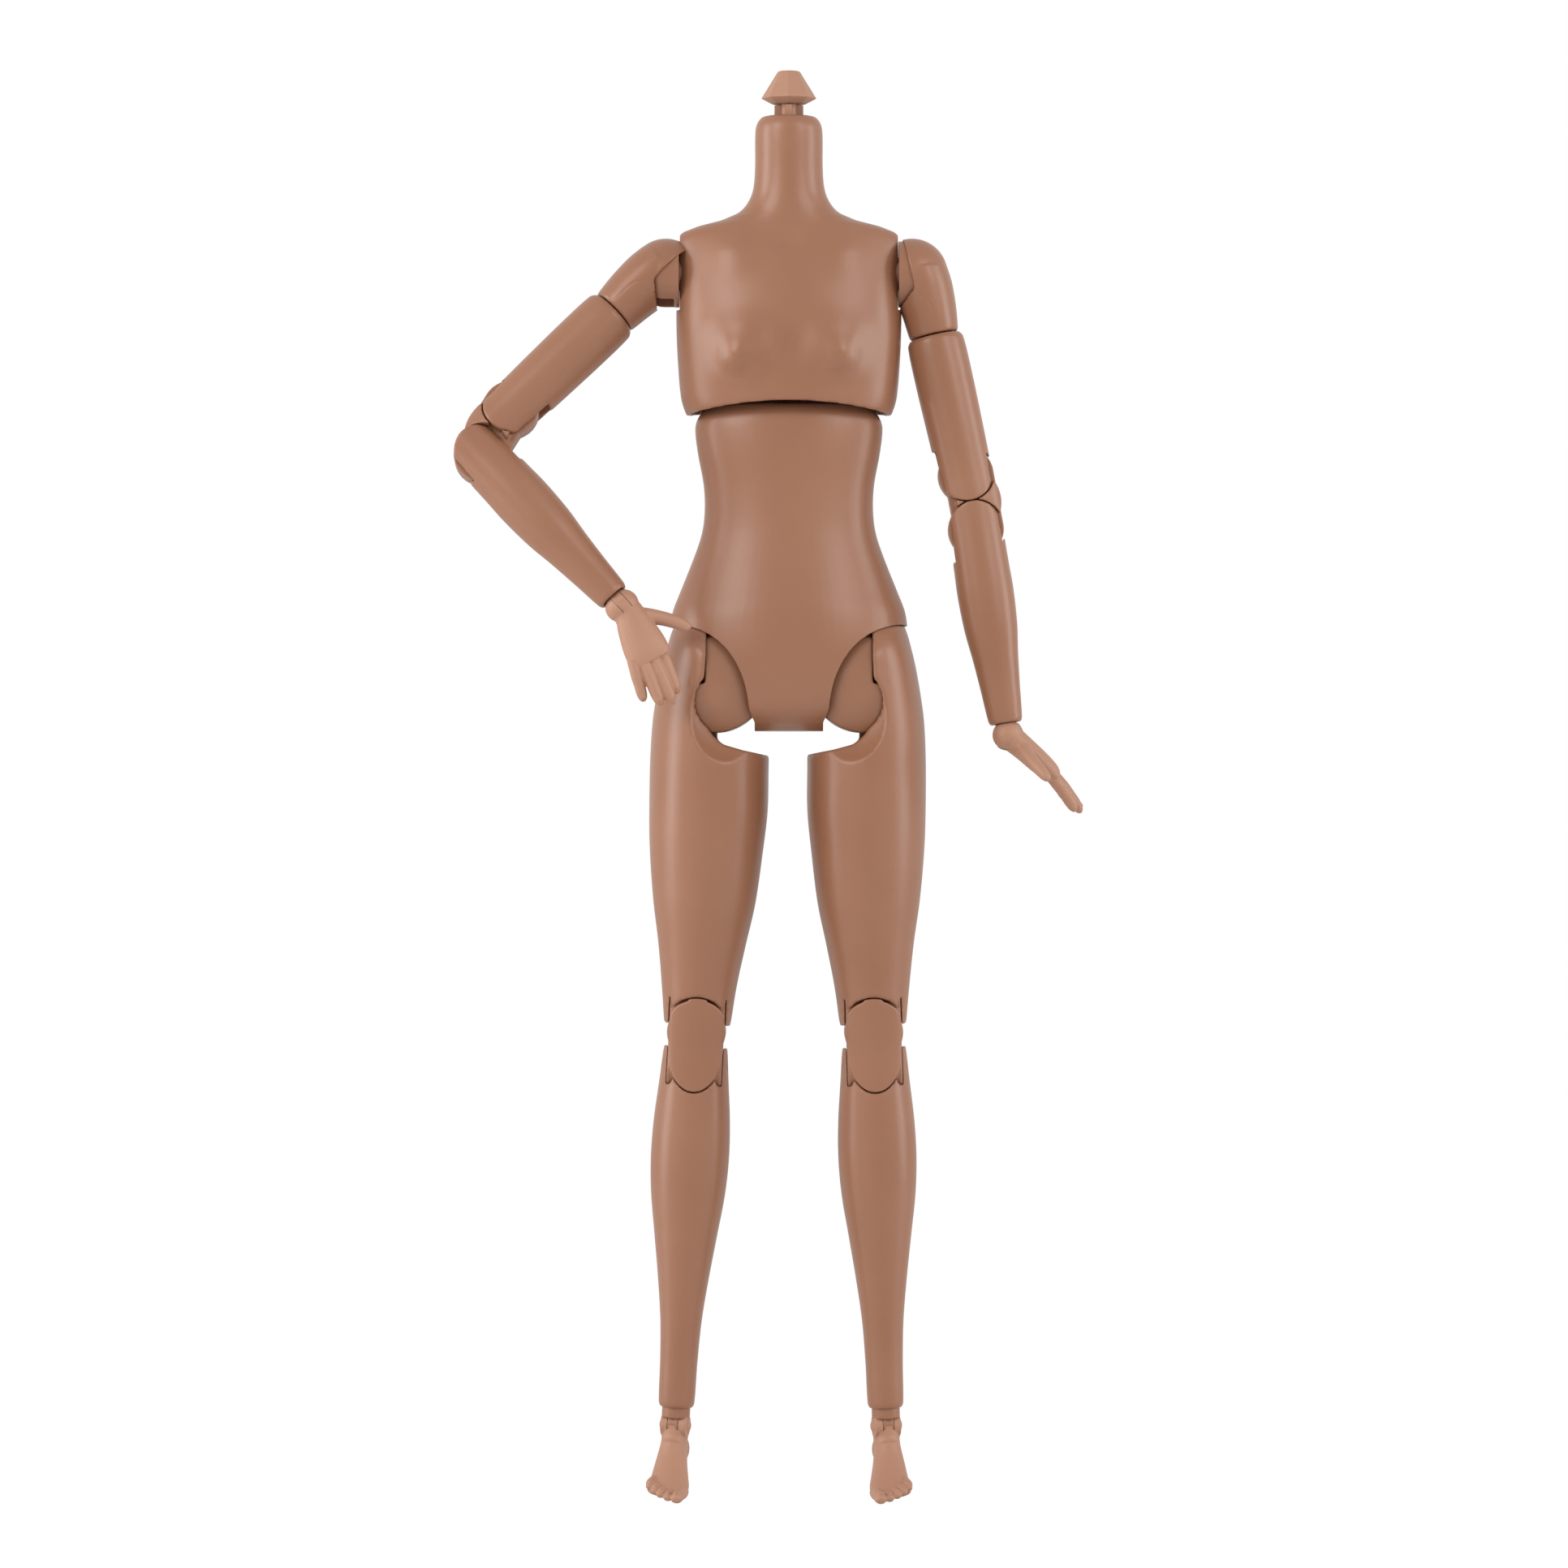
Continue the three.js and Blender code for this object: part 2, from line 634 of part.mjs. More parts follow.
function shoulderHub() {
  const faceX = armSeamX + runningGap - shoulderPivotX;
  const axleEnd = armSeamX - shoulderAxleLength - shoulderPivotX;
  const flangeEnd = axleEnd - shoulderFlangeLength;
  const collar = rod(shoulderRadius, faceX, 0, 'x', 0, 0, 0, 14);
  const ball = join(sphere(shoulderRadius, 0, 0, 0, 14), collar);
  const trimmed = common(ball, box(faceX, beyond, -beyond, beyond, -beyond, beyond));
  const axle = rod(shoulderAxleRadius, axleEnd - 1, faceX + 0.5, 'x', 0, 0, 0, 12);
  const flange = rod(shoulderFlangeRadius, flangeEnd, axleEnd, 'x', 0, 0, 0, 12);
  const slotHalf = shoulderTongueHalf + runningGap;
  const slotReach = tongueBarHalf + runningGap;
  const slot = box(-slotReach, beyond, -slotHalf, slotHalf, -beyond, slotReach);
  const eye = rod(tongueEyeRadius + runningGap, -slotHalf, slotHalf, 'y', 0, 0, 0, 12);
  return cut(join(trimmed, axle, flange), slot, eye, pinHole(tonguePinRadius, 'y'));
}

function shoulderCap() {
  const body = loft(capRows, { x: armOffset, sides: 16 });
  const faceX = armSeamX + runningGap - shoulderPivotX;
  const corner = Math.hypot(shoulderRadius, faceX) + runningGap;
  const inward = box(-beyond, -0.4, -beyond, beyond, -beyond, beyond);
  const near = common(sphere(corner, 0, 0, 0, 14), inward);
  const hollow = join(sphere(shoulderRadius + runningGap, 0, 0, 0, 14), near);
  const half = shoulderTongueHalf;
  const bar = box(-tongueBarHalf, tongueBarHalf, -half, half, -shoulderRadius - 1.5, 0);
  const eye = rod(tongueEyeRadius, -half, half, 'y', 0, 0, 0, 12);
  const peg = rod(capPegRadius, -capEnd - capPegLength, -capEnd + 1, 'z', armOffset, 0, 0, 14);
  const tongue = cut(join(cut(body, hollow), bar, eye), pinHole(tonguePinRadius, 'y'));
  return join(tongue, peg);
}

// The slot in a forked end at an elbow pin: open along the arm and towards the inside of the bend
function elbowSlot(pinZ, open) {
  const half = elbowPlateHalf + runningGap;
  const reach = elbowRadius + 0.4;
  const disc = rod(reach, -half, half, 'y', 0, 0, pinZ, 12);
  const [low, high] = open > 0 ? [pinZ, beyond] : [-beyond, pinZ];
  const along = box(-beyond, beyond, -half, half, low, high);
  const bend = box(-beyond, 0, -half, half, pinZ - reach, pinZ + reach);
  return join(disc, along, bend);
}

// A forked end's round cheeks, and the blind hole for the pin inside them
const elbowPinHalf = 4;

function elbowFork(pinZ) {
  const half = elbowHalfDepth;
  return rod(elbowRadius, -half, half, 'y', 0, 0, pinZ, 14);
}

function elbowPinBore(pinZ) {
  const half = elbowPinHalf + runningGap;
  return rod(pinRadius + runningGap, -half, half, 'y', 0, 0, pinZ, pinSides);
}

function upperArm() {
  const pinZ = -elbowUpperAlong;
  const pegBottom = -capEnd - capPegLength - runningGap;
  const pegBore = rod(capPegRadius + runningGap, pegBottom, 0, 'z', 0, 0, 0, 14);
  const whole = join(loft(upperArmRows), elbowFork(pinZ));
  return cut(whole, elbowSlot(pinZ, -1), pegBore, elbowPinBore(pinZ));
}

function elbowLink() {
  const half = elbowPlateHalf;
  const reach = elbowRadius + 0.1;
  const middle = -elbowLinkLength / 2;
  const upper = rod(reach, -half, half, 'y', 0, 0, 0, 14);
  const lower = rod(reach, -half, half, 'y', 0, 0, -elbowLinkLength, 14);
  const web = box(-reach + 1.2, reach, -half, half, -elbowLinkLength, 0);
  const outer = new THREE.Shape();
  outer.absellipse(0, middle, 5.8, 6.2, -Math.PI / 2, Math.PI / 2);
  const inner = new THREE.Shape();
  inner.absellipse(0, middle, 2.8, 4, Math.PI / 2, 1.5 * Math.PI);
  const lobeHalf = elbowHalfDepth - 0.4;
  const lobes = join(plate(outer, -lobeHalf, lobeHalf, 6), plate(inner, -lobeHalf, lobeHalf, 4));
  const clear = (z) => rod(elbowRadius + runningGap, -beyond, beyond, 'y', 0, 0, z, 16);
  const sides = cut(lobes, clear(0), clear(-elbowLinkLength));
  const holes = [pinHole(pinRadius, 'y'), pinHole(pinRadius, 'y', -elbowLinkLength)];
  return cut(join(upper, lower, web, sides), ...holes);
}

function forearm() {
  const pegTop = -forearmLength + wristPegDepth + runningGap;
  const pegBore = rod(wristPegRadius + runningGap, -beyond, pegTop, 'z', 0, 0, 0, 12);
  const whole = join(loft(forearmRows), elbowFork(0));
  return cut(whole, elbowSlot(0, 1), pegBore, elbowPinBore(0));
}

// Wrist peg, in a frame at the wrist pivot
const wristEyeRadius = 1.5;
const wristPinRadius = 0.65;
const wristBallRadius = 2.8;

function wristPeg() {
  const top = wristPivotAlong + wristPegDepth;
  const start = wristBallRadius + runningGap;
  const shank = rod(wristPegRadius, start, top, 'z', 0, 0, 0, 12);
  const half = wristTongueHalf;
  const tongue = box(-wristEyeRadius, wristEyeRadius, -half, half, 0, start + 0.5);
  const eye = rod(wristEyeRadius, -half, half, 'y', 0, 0, 0, 12);
  return cut(join(shank, tongue, eye), pinHole(wristPinRadius, 'y'));
}

// Hand: the palm faces inward and the thumb points forward. Each row is [x, y, z, half width, half
// thickness].
const palmRows = [
  [0, 0, 1, 2.2, 2.1],
  [0, 0.3, -2.4, 2.6, 2],
  [0, 0.9, -4.8, 3.4, 2],
  [-0.1, 1.9, -8, 4, 1.9],
  [-0.2, 2.7, -10.6, 4.1, 1.7],
  [-0.3, 3, -11.8, 3.7, 1.2],
];
const fingers = [
  { base: [-0.1, -0.1, -10.2], tip: [-1.9, 3.1, -19.2], radius: 1.12 },
  { base: [-0.1, 1.9, -10.4], tip: [-2.2, 5.3, -20.2], radius: 1.15 },
  { base: [-0.2, 3.9, -10.2], tip: [-2.4, 7.1, -18.9], radius: 1.1 },
  { base: [-0.3, 5.7, -9.6], tip: [-2.6, 8.7, -16.2], radius: 0.98 },
];
const thumbRows = [
  [-0.2, -0.4, -3, 1.6, 1.5],
  [-0.8, -2.9, -5.2, 1.6, 1.5],
  [-1.4, -4.9, -7.8, 1.35, 1.3],
  [-1.9, -6.2, -10, 1.15, 1.1],
  [-2.1, -6.8, -11.3, 0.6, 0.6],
];
const alongY = new THREE.Vector3(0, 1, 0);

function fingerRows({ base, tip, radius }) {
  const knuckles = [[0, 1], [0.45, 1], [0.88, 0.8], [1, 0.4]];
  return knuckles.map(([t, swell]) => {
    const curl = t * (1 - t) * 1.6;
    const x = base[0] + (tip[0] - base[0]) * t + curl;
    const y = base[1] + (tip[1] - base[1]) * t;
    const z = base[2] + (tip[2] - base[2]) * t;
    return [x, y, z, radius * swell, radius * swell * 0.92];
  });
}

function hand() {
  const palm = limb(palmRows, 8, alongY);
  const thumb = limb(thumbRows, 6, alongY);
  const digits = fingers.map((finger) => limb(fingerRows(finger), 5, alongY));
  const ball = sphere(wristBallRadius, 0, 0, 0, 10);
  const half = wristTongueHalf + runningGap;
  const slot = box(-beyond, beyond, -half, half, -wristEyeRadius - runningGap, beyond);
  return cut(join(palm, ball, thumb, ...digits), slot, pinHole(wristPinRadius, 'y'));
}

function addArm(side, name, pose) {
  const swing = frameAt(chest, side * shoulderPivotX, 0, shoulderHeight);
  swing.rotation.x = -pose.swing * degrees;
  const pin = (radius, half) => rod(radius, -half, half, 'y', 0, 0, 0, pinSides);
  add(swing, `${name}_shoulder_hub`, shoulderHub(), skinPlastic, side);
  add(swing, `${name}_shoulder_pin`, pin(tonguePinRadius, shoulderPinHalf), nylon, side);
  const raise = frameAt(swing, 0, 0, 0);
  raise.rotation.y = -side * pose.raise * degrees;
  add(raise, `${name}_shoulder_cap`, shoulderCap(), skinPlastic, side);
  const turn = frameAt(raise, side * armOffset, 0, 0);
  add(turn, `${name}_upper_arm`, upperArm(), skinPlastic, side);
  const upper = frameAt(turn, 0, 0, -elbowUpperAlong);
  add(upper, `${name}_elbow_upper_pin`, pin(pinRadius, elbowPinHalf), nylon, side);
  upper.rotation.y = side * pose.upperFlex * degrees;
  add(upper, `${name}_elbow_link`, elbowLink(), skinPlastic, side);
  const lower = frameAt(upper, 0, 0, -elbowLinkLength);
  add(lower, `${name}_elbow_lower_pin`, pin(pinRadius, elbowPinHalf), nylon, side);
  lower.rotation.y = side * pose.lowerFlex * degrees;
  add(lower, `${name}_forearm`, forearm(), skinPlastic, side);
  const wrist = frameAt(lower, 0, 0, -forearmLength - wristPivotAlong);
  wrist.rotation.z = -side * pose.wristTurn * degrees;
  add(wrist, `${name}_wrist_peg`, wristPeg(), nylon, side);
  add(wrist, `${name}_wrist_pin`, pin(wristPinRadius, wristPinHalf), nylon, side);
  const palm = frameAt(wrist, 0, 0, 0);
  palm.rotation.y = -side * pose.wristBend * degrees;
  add(palm, `${name}_hand`, hand(), vinyl, side);
}

addArm(-1, 'right', rightArm);
addArm(1, 'left', leftArm);

// Legs, drawn for the left side in a frame at the centre of the hip ball, again with +X outward
const hipInnerX = crotchHalfWidth + runningGap - hipX;
const thighEnd = kneeUpperAlong + kneeForkReach;
const kneePinHalf = 5.7;
const hipPinHalf = 6;
const thighRows = [
  [13, 7, 7, 8, 8],
  [9.8, 8.6, 8.6, 10, 10],
  [6, 9.6, 9.6, 12.4, 12.4],
  [2, 10.4, 10.4, 12.8, 12.8],
  [-3, 11.1, 10.6, 12.9, 13.2],
  [-8, 11.6, 10.9, 13.1, 13.8],
  [-15, 11.7, 11, 13, 14.2],
  [-24, 11.4, 11.3, 12.6, 13.6],
  [-32, 10.9, 10.8, 12, 12.6],
  [-42, 9.7, 9.9, 10.8, 11],
  [-50, 8.3, 8.5, 9.4, 9.6],
  [-58, 7.2, 7.2, 8, 8.4],
  [-thighEnd, 6.3, 6.4, 7, 7.6],
];
const thighEdgeX = 1.9;
const scallopRadius = 12;
const scallopY = 19.6;

// A disc about the spread axis with domed faces, grown by a clearance
function domedDisc(radius, clearance) {
  const curve = hipDomeCurve + clearance;
  const reach = hipDomeReach + clearance;
  const dome = (at) => reach - curve + Math.sqrt(curve ** 2 - at ** 2);
  const steps = [0, 0.6, 1].map((part) => part * (radius + clearance));
  const front = steps.map((at) => [at, -dome(at)]);
  const back = steps.map((at) => [at, dome(at)]).reverse();
  return turned([...front, ...back], 'y', 0, 0, 0, 14);
}

// The part of a hip ball that points inward and down, as an outline: it ends where the open thigh passes
function hipOutline() {
  const open = hipMaxSpread * degrees;
  const edge = 1.5;
  const top = open + Math.acos(edge / hipDiscRadius);
  const far = open + Math.acos(edge / hipBallRadius);
  const shape = new THREE.Shape();
  shape.absarc(0, 0, hipLobeRadius, -2.39, -1.22, false);
  shape.lineTo(hipDiscRadius * Math.cos(-1.22), hipDiscRadius * Math.sin(-1.22));
  shape.absarc(0, 0, hipDiscRadius, -1.22, top, false);
  shape.lineTo(hipBallRadius * Math.cos(far), hipBallRadius * Math.sin(far));
  shape.lineTo(hipInnerX, hipBallRadius);
  shape.closePath();
  return plate(shape, -20, 20, 6);
}

function hipBall() {
  const ball = common(
    sphere(hipBallRadius, 0, 0, 0, 18),
    domedDisc(hipBallRadius - 0.5, 0),
    hipOutline(),
    box(hipInnerX, beyond, -beyond, beyond, -beyond, beyond),
  );
  const slotHalf = hipTongueHalf + runningGap;
  const slotTop = hipEyeRadius + 2 * runningGap;
  const slot = box(-slotTop + 0.6, beyond, -slotHalf, slotHalf, -beyond, slotTop);
  const axleEnd = -hipAxleInset + runningGap;
  const axleBore = rod(hipAxleRadius + runningGap, -beyond, axleEnd, 'x', 0, 0, 0, 12);
  const pinReach = hipPinHalf + runningGap;
  const pinBore = rod(pinRadius + snugGap, -pinReach, pinReach, 'y', 0, 0, 0, pinSides);
  return cut(ball, slot, axleBore, pinBore);
}

function thighCavity() {
  const sector = new THREE.Shape();
  sector.absarc(0, 0, beyond, -3.1, -1.05, false);
  sector.lineTo(0, 0);
  sector.closePath();
  const ring = common(domedDisc(hipLobeRadius, runningGap), plate(sector, -beyond, beyond, 8));
  return join(domedDisc(hipDiscRadius, runningGap), ring);
}

// What is open right through the thigh, inside its edge and above the ledge under the hip ball
function thighOpening() {
  const shape = new THREE.Shape();
  shape.moveTo(-beyond, beyond);
  shape.lineTo(-beyond, -15);
  shape.lineTo(-9.9, -14);
  shape.lineTo(-6, -13);
  shape.lineTo(-2, -11.8);
  shape.lineTo(-0.7, -10.6);
  shape.lineTo(thighEdgeX, -7.5);
  shape.lineTo(thighEdgeX, beyond);
  shape.closePath();
  return plate(shape, -beyond, beyond);
}

// An upright arch in the front of a knee fork, from a rounded end to far beyond it
const kneeArchRise = 4.4;

function kneeArch(endZ, towards, halfWidth) {
  const shape = new THREE.Shape();
  const centre = endZ + towards * kneeArchRise;
  const far = centre + towards * beyond;
  shape.moveTo(halfWidth, centre);
  shape.lineTo(halfWidth, far);
  shape.lineTo(-halfWidth, far);
  shape.lineTo(-halfWidth, centre);
  const turn = towards > 0 ? 2 * Math.PI : 0;
  shape.absellipse(0, centre, halfWidth, kneeArchRise, Math.PI, turn, towards < 0);
  return plate(shape, -beyond, 0, 6);
}

// The room for the link and its pin inside a knee fork that opens upward (1) or downward (-1)
function kneeRoom(pinZ, towards, backReach) {
  const half = kneeSlotHalf;
  const clear = kneeRadius + 0.4;
  const far = pinZ + towards * beyond;
  const backEnd = pinZ - towards * backReach;
  const pinReach = kneePinHalf + runningGap;
  return join(
    rod(clear, -half, half, 'x', 0, 0, pinZ, 12),
    box(-half, half, -clear, clear, Math.min(pinZ, far), Math.max(pinZ, far)),
    box(-half, half, 0, beyond, Math.min(backEnd, far), Math.max(backEnd, far)),
    rod(pinRadius + runningGap, -pinReach, pinReach, 'x', 0, 0, pinZ, pinSides),
  );
}

// A wedge cut away behind a knee: it slopes from one height at the front to another at the back
function behindKnee(nearZ, farZ, towards) {
  const end = nearZ + towards * beyond;
  const points = [[-1, nearZ], [9, farZ], [beyond, farZ], [beyond, end], [-1, end]];
  const ring = (x) => points.map(([y, z]) => new THREE.Vector3(x, y, z));
  return solid(skin([ring(-beyond), ring(beyond)]));
}

function thigh() {
  const whole = loft(thighRows, { sides: 16 });
  const split = -2;
  const far = 2 * beyond;
  const lower = common(whole, box(-far, far, -far, far, -far, split));
  const above = box(-far, far, -far, far, split - 0.01, far);
  const upper = common(whole, sphere(hipBallRadius, 0, 0, 0, 18), above);
  const scallop = (y) => sphere(scallopRadius, -5, y, -6, 16);
  const open = join(thighOpening(), thighCavity(), scallop(-scallopY), scallop(scallopY));
  const half = hipTongueHalf;
  const bar = box(-0.9, 3.2, -half, half, -15, 0);
  const eye = rod(hipEyeRadius, -half, half, 'y', 0, 0, 0, 14);
  const tongue = cut(join(bar, eye), pinHole(pinRadius, 'y'));
  const topped = join(cut(join(lower, upper), open), tongue);
  const arch = kneeArch(-kneeUpperAlong + 0.6, -1, kneeHalfWidth + 0.15);
  const corner = behindKnee(-thighEnd - 0.5, -thighEnd + 8, -1);
  return cut(topped, kneeRoom(-kneeUpperAlong, -1, 3.3), arch, corner);
}

function kneeLink() {
  const middle = -kneeLinkLength / 2;
  const reach = kneeHalfWidth + 3;
  const side = join(
    rod(kneeRadius, -reach, reach, 'x', 0, 0, 0, 14),
    rod(kneeRadius, -reach, reach, 'x', 0, 0, -kneeLinkLength, 14),
    box(-reach, reach, -kneeRadius, kneeRadius, -kneeLinkLength, 0),
    egg(5.6, 5.4, 6.4, 0, 0, middle, 10),
  );
  const outline = new THREE.Shape();
  outline.absellipse(0, 0, kneeHalfWidth, kneeRadius, 0, Math.PI);
  outline.absellipse(0, -kneeLinkLength, kneeHalfWidth, kneeRadius, Math.PI, 2 * Math.PI);
  outline.closePath();
  const holes = [pinHole(pinRadius, 'x'), pinHole(pinRadius, 'x', -kneeLinkLength)];
  return cut(common(side, plate(outline, -reach, reach, 6)), ...holes);
}

// Calf, in a frame at the lower knee pin
const calfRows = [
  [calfForkReach, 6.1, 6.1, 5.6, 6.4],
  [-2.2, 6.6, 6.6, 5.9, 8],
  [-10.2, 7.3, 7.3, 6, 9],
  [-17.2, 7.5, 7.5, 6, 9.4],
  [-24.2, 7.1, 7.1, 5.7, 8.8],
  [-32.2, 6, 6, 5.2, 7.2],
  [-40.2, 4.9, 4.9, 4.7, 5.6],
  [-48.2, 4, 4, 4.2, 4.6],
  [-56.2, 3.6, 3.6, 3.8, 4],
  [-calfLength, 3.4, 3.4, 3.5, 3.6],
];

function calf() {
  const arch = kneeArch(-4.7, 1, kneeHalfWidth + 0.3);
  const corner = behindKnee(calfForkReach + 0.5, calfForkReach - 7, 1);
  const boreTop = -calfLength + anklePegDepth + runningGap;
  const pegBore = rod(anklePegRadius + runningGap, -2 * beyond, boreTop, 'z', 0, 0, 0, 12);
  return cut(loft(calfRows), kneeRoom(0, 1, 3), arch, corner, pegBore);
}

// Ankle peg and foot, in a frame at the ankle pin. The foot is arched for high heels.
const ankleEyeRadius = 1.6;
const anklePinRadius = 0.8;
const anklePinHalf = 2.6;
const footRows = [
  [0, 0, 1.7, 2.7, 2.6],
  [0, 0.1, -1.6, 2.4, 2.9],
  [0, -0.6, -4.6, 2.7, 3.7],
  [0, -3.2, -7.4, 3.3, 3.1],
  [0, -6.2, -9.6, 4, 2.4],
  [0, -8.6, -11, 4.1, 1.9],
  [0, -10.4, -11.9, 3.6, 1.2],
];
const toes = [
  { base: -2.7, tip: -2.5, reach: -13.4, radius: 1.2 },
  { base: -0.9, tip: -0.7, reach: -13.5, radius: 0.86 },
  { base: 0.6, tip: 0.8, reach: -12.9, radius: 0.82 },
  { base: 1.9, tip: 2.1, reach: -12.1, radius: 0.78 },
  { base: 3, tip: 3.2, reach: -11.1, radius: 0.74 },
];

function anklePeg() {
  const start = ankleGap - 0.4;
  const shank = rod(anklePegRadius, start, ankleGap + anklePegDepth, 'z', 0, 0, 0, 12);
  const half = ankleTongueHalf;
  const tongue = box(-half, half, -ankleEyeRadius, ankleEyeRadius, 0, start + 0.5);
  const eye = rod(ankleEyeRadius, -half, half, 'x', 0, 0, 0, 12);
  return cut(join(shank, tongue, eye), pinHole(anklePinRadius, 'x'));
}

function foot() {
  const sole = limb(footRows, 10);
  const heel = egg(2.5, 2.8, 3.2, 0, 2.3, -4.4, 8);
  const digits = toes.map(({ base, tip, reach, radius }) => limb([
    [base, -8.6, -11.6, radius, radius],
    [base, (reach - 9) / 2, -12 - radius * 0.2, radius * 1.05, radius],
    [tip, reach + 0.5, -12.6, radius * 0.95, radius * 0.75],
    [tip, reach, -12.7, radius * 0.5, radius * 0.35],
  ], 5));
  const half = ankleTongueHalf + runningGap;
  const clear = ankleEyeRadius + runningGap;
  const slot = join(
    rod(clear, -half, half, 'x', 0, 0, 0, 12),
    box(-half, half, -beyond, beyond, 0, beyond),
  );
  return cut(join(sole, heel, ...digits), slot, pinHole(anklePinRadius, 'x'));
}

function addLeg(side, name, pose) {
  const swing = frameAt(doll, side * hipX, 0, hipHeight);
  const pin = (radius, half, axis) => rod(radius, -half, half, axis, 0, 0, 0, pinSides);
  add(swing, `${name}_hip_ball`, hipBall(), skinPlastic, side);
  add(swing, `${name}_hip_pin`, pin(pinRadius, hipPinHalf, 'y'), nylon, side);
  const spread = frameAt(swing, 0, 0, 0);
  spread.rotation.y = -side * pose.spread * degrees;
  add(spread, `${name}_thigh`, thigh(), skinPlastic, side);
  const upper = frameAt(spread, 0, 0, -kneeUpperAlong);
  add(upper, `${name}_knee_upper_pin`, pin(pinRadius, kneePinHalf, 'x'), nylon, side);
  add(upper, `${name}_knee_link`, kneeLink(), skinPlastic, side);
  const lower = frameAt(upper, 0, 0, -kneeLinkLength);
  add(lower, `${name}_knee_lower_pin`, pin(pinRadius, kneePinHalf, 'x'), nylon, side);
  add(lower, `${name}_calf`, calf(), skinPlastic, side);
  const ankle = frameAt(lower, 0, 0, -calfLength - ankleGap);
  ankle.rotation.z = side * pose.footTurn * degrees;
  add(ankle, `${name}_ankle_peg`, anklePeg(), nylon, side);
  add(ankle, `${name}_ankle_pin`, pin(anklePinRadius, anklePinHalf, 'x'), nylon, side);
  add(ankle, `${name}_foot`, foot(), vinyl, side);
}

addLeg(-1, 'right', rightLeg);
addLeg(1, 'left', leftLeg);

export default figure;
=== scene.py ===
import math
import bpy
from mathutils import Matrix, Vector


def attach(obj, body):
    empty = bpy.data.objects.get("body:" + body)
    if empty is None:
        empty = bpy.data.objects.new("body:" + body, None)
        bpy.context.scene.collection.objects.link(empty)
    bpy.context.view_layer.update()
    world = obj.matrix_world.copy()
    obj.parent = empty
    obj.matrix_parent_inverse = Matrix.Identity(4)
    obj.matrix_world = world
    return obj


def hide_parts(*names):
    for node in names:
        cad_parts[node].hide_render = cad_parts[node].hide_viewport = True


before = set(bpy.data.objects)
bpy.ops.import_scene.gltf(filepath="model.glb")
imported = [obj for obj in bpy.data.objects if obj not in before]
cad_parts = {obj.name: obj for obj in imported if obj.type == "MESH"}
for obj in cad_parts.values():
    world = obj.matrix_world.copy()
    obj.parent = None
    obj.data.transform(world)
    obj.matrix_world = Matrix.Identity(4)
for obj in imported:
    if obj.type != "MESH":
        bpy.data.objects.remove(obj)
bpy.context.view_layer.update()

# Lower torso. Pelvis and belly are one hollow moulding in satin tan plastic, glued from a front and a back half
# along the sides. Two round hollows under the leg lines hold the hip balls, and the belly tucks into the chest.
# A row of a body is (height, reach to the outer side, to the inner side, to the front, to the back), in mm.
torso_rows = [
    (146, 10.5, 10.5, 6.5, 7.5),
    (147.5, 13.5, 13.5, 9.4, 10),
    (150, 17, 17, 12, 12.6),
    (155.5, 21, 21, 13.8, 14.6),
    (161, 22.6, 22.6, 14.3, 15.2),
    (168, 22.4, 22.4, 13.8, 14.6),
    (172.5, 20.8, 20.8, 12.7, 13.2),
    (177.2, 18.9, 18.9, 11.7, 11.6),
    (183.4, 16.7, 16.7, 10.8, 9.9),
    (188, 16.1, 16.1, 10.5, 9.3),
    (193, 16.3, 16.3, 10.4, 9.2),
    (199, 17.4, 17.4, 10.4, 9.2),
    (204, 17.9, 17.9, 10.1, 9),
    (206.2, 17.1, 17.1, 9.7, 8.7),
    (208.2, 15.2, 15.2, 8.6, 7.6),
]
waist_height = 187
waist_post_hole = 2.5
belly_top_height = 205.3
hip_x = 14
hip_height = 155.5
hip_socket_radius = 13.7


def smooth_rows(rows, step):
    """More sections between the rows, on smooth curves: (height, centre x, centre y, half width, half depth)."""
    plain = [(z, (out - inn) / 2, (back - front) / 2, (out + inn) / 2, (back + front) / 2)
             for z, out, inn, front, back in rows]
    drawn = [plain[0]]
    for k in range(len(plain) - 1):
        low, high = plain[k], plain[k + 1]
        span = high[0] - low[0]
        parts = max(1, round(abs(span) / step))
        before, after = plain[max(k - 1, 0)], plain[min(k + 2, len(plain) - 1)]
        for part in range(1, parts + 1):
            t = part / parts
            row = [low[0] + span * t]
            for c in range(1, 5):
                start = (high[c] - before[c]) / (high[0] - before[0]) * span
                finish = (after[c] - low[c]) / (after[0] - low[0]) * span
                row.append((2 * t**3 - 3 * t**2 + 1) * low[c] + (t**3 - 2 * t**2 + t) * start
                           + (3 * t**2 - 2 * t**3) * high[c] + (t**3 - t**2) * finish)
            drawn.append(tuple(row))
    return drawn


def drawn_body(name, rows, step=1.5, sides=48):
    """A closed body drawn up through oval sections, in millimetres."""
    sections = smooth_rows(rows, step)
    z, x, y, wide, deep = sections[0]
    bpy.ops.object.select_all(action="DESELECT")
    bpy.ops.mesh.primitive_circle_add(vertices=sides, radius=1, fill_type="NGON", location=(x, y, z))
    body = bpy.context.object
    body.name = name
    bpy.ops.object.mode_set(mode="EDIT")
    bpy.ops.transform.resize(value=(wide, deep, 1), center_override=(x, y, z))
    for z1, x1, y1, wide1, deep1 in sections[1:]:
        bpy.ops.mesh.extrude_region_move(TRANSFORM_OT_translate={"value": (x1 - x, y1 - y, z1 - z)})
        bpy.ops.transform.resize(value=(wide1 / wide, deep1 / deep, 1), center_override=(x1, y1, z1))
        z, x, y, wide, deep = z1, x1, y1, wide1, deep1
    bpy.ops.mesh.select_all(action="SELECT")
    bpy.ops.mesh.normals_make_consistent(inside=False)
    bpy.ops.object.mode_set(mode="OBJECT")
    bpy.ops.object.transform_apply(location=True, rotation=True, scale=True)
    return body


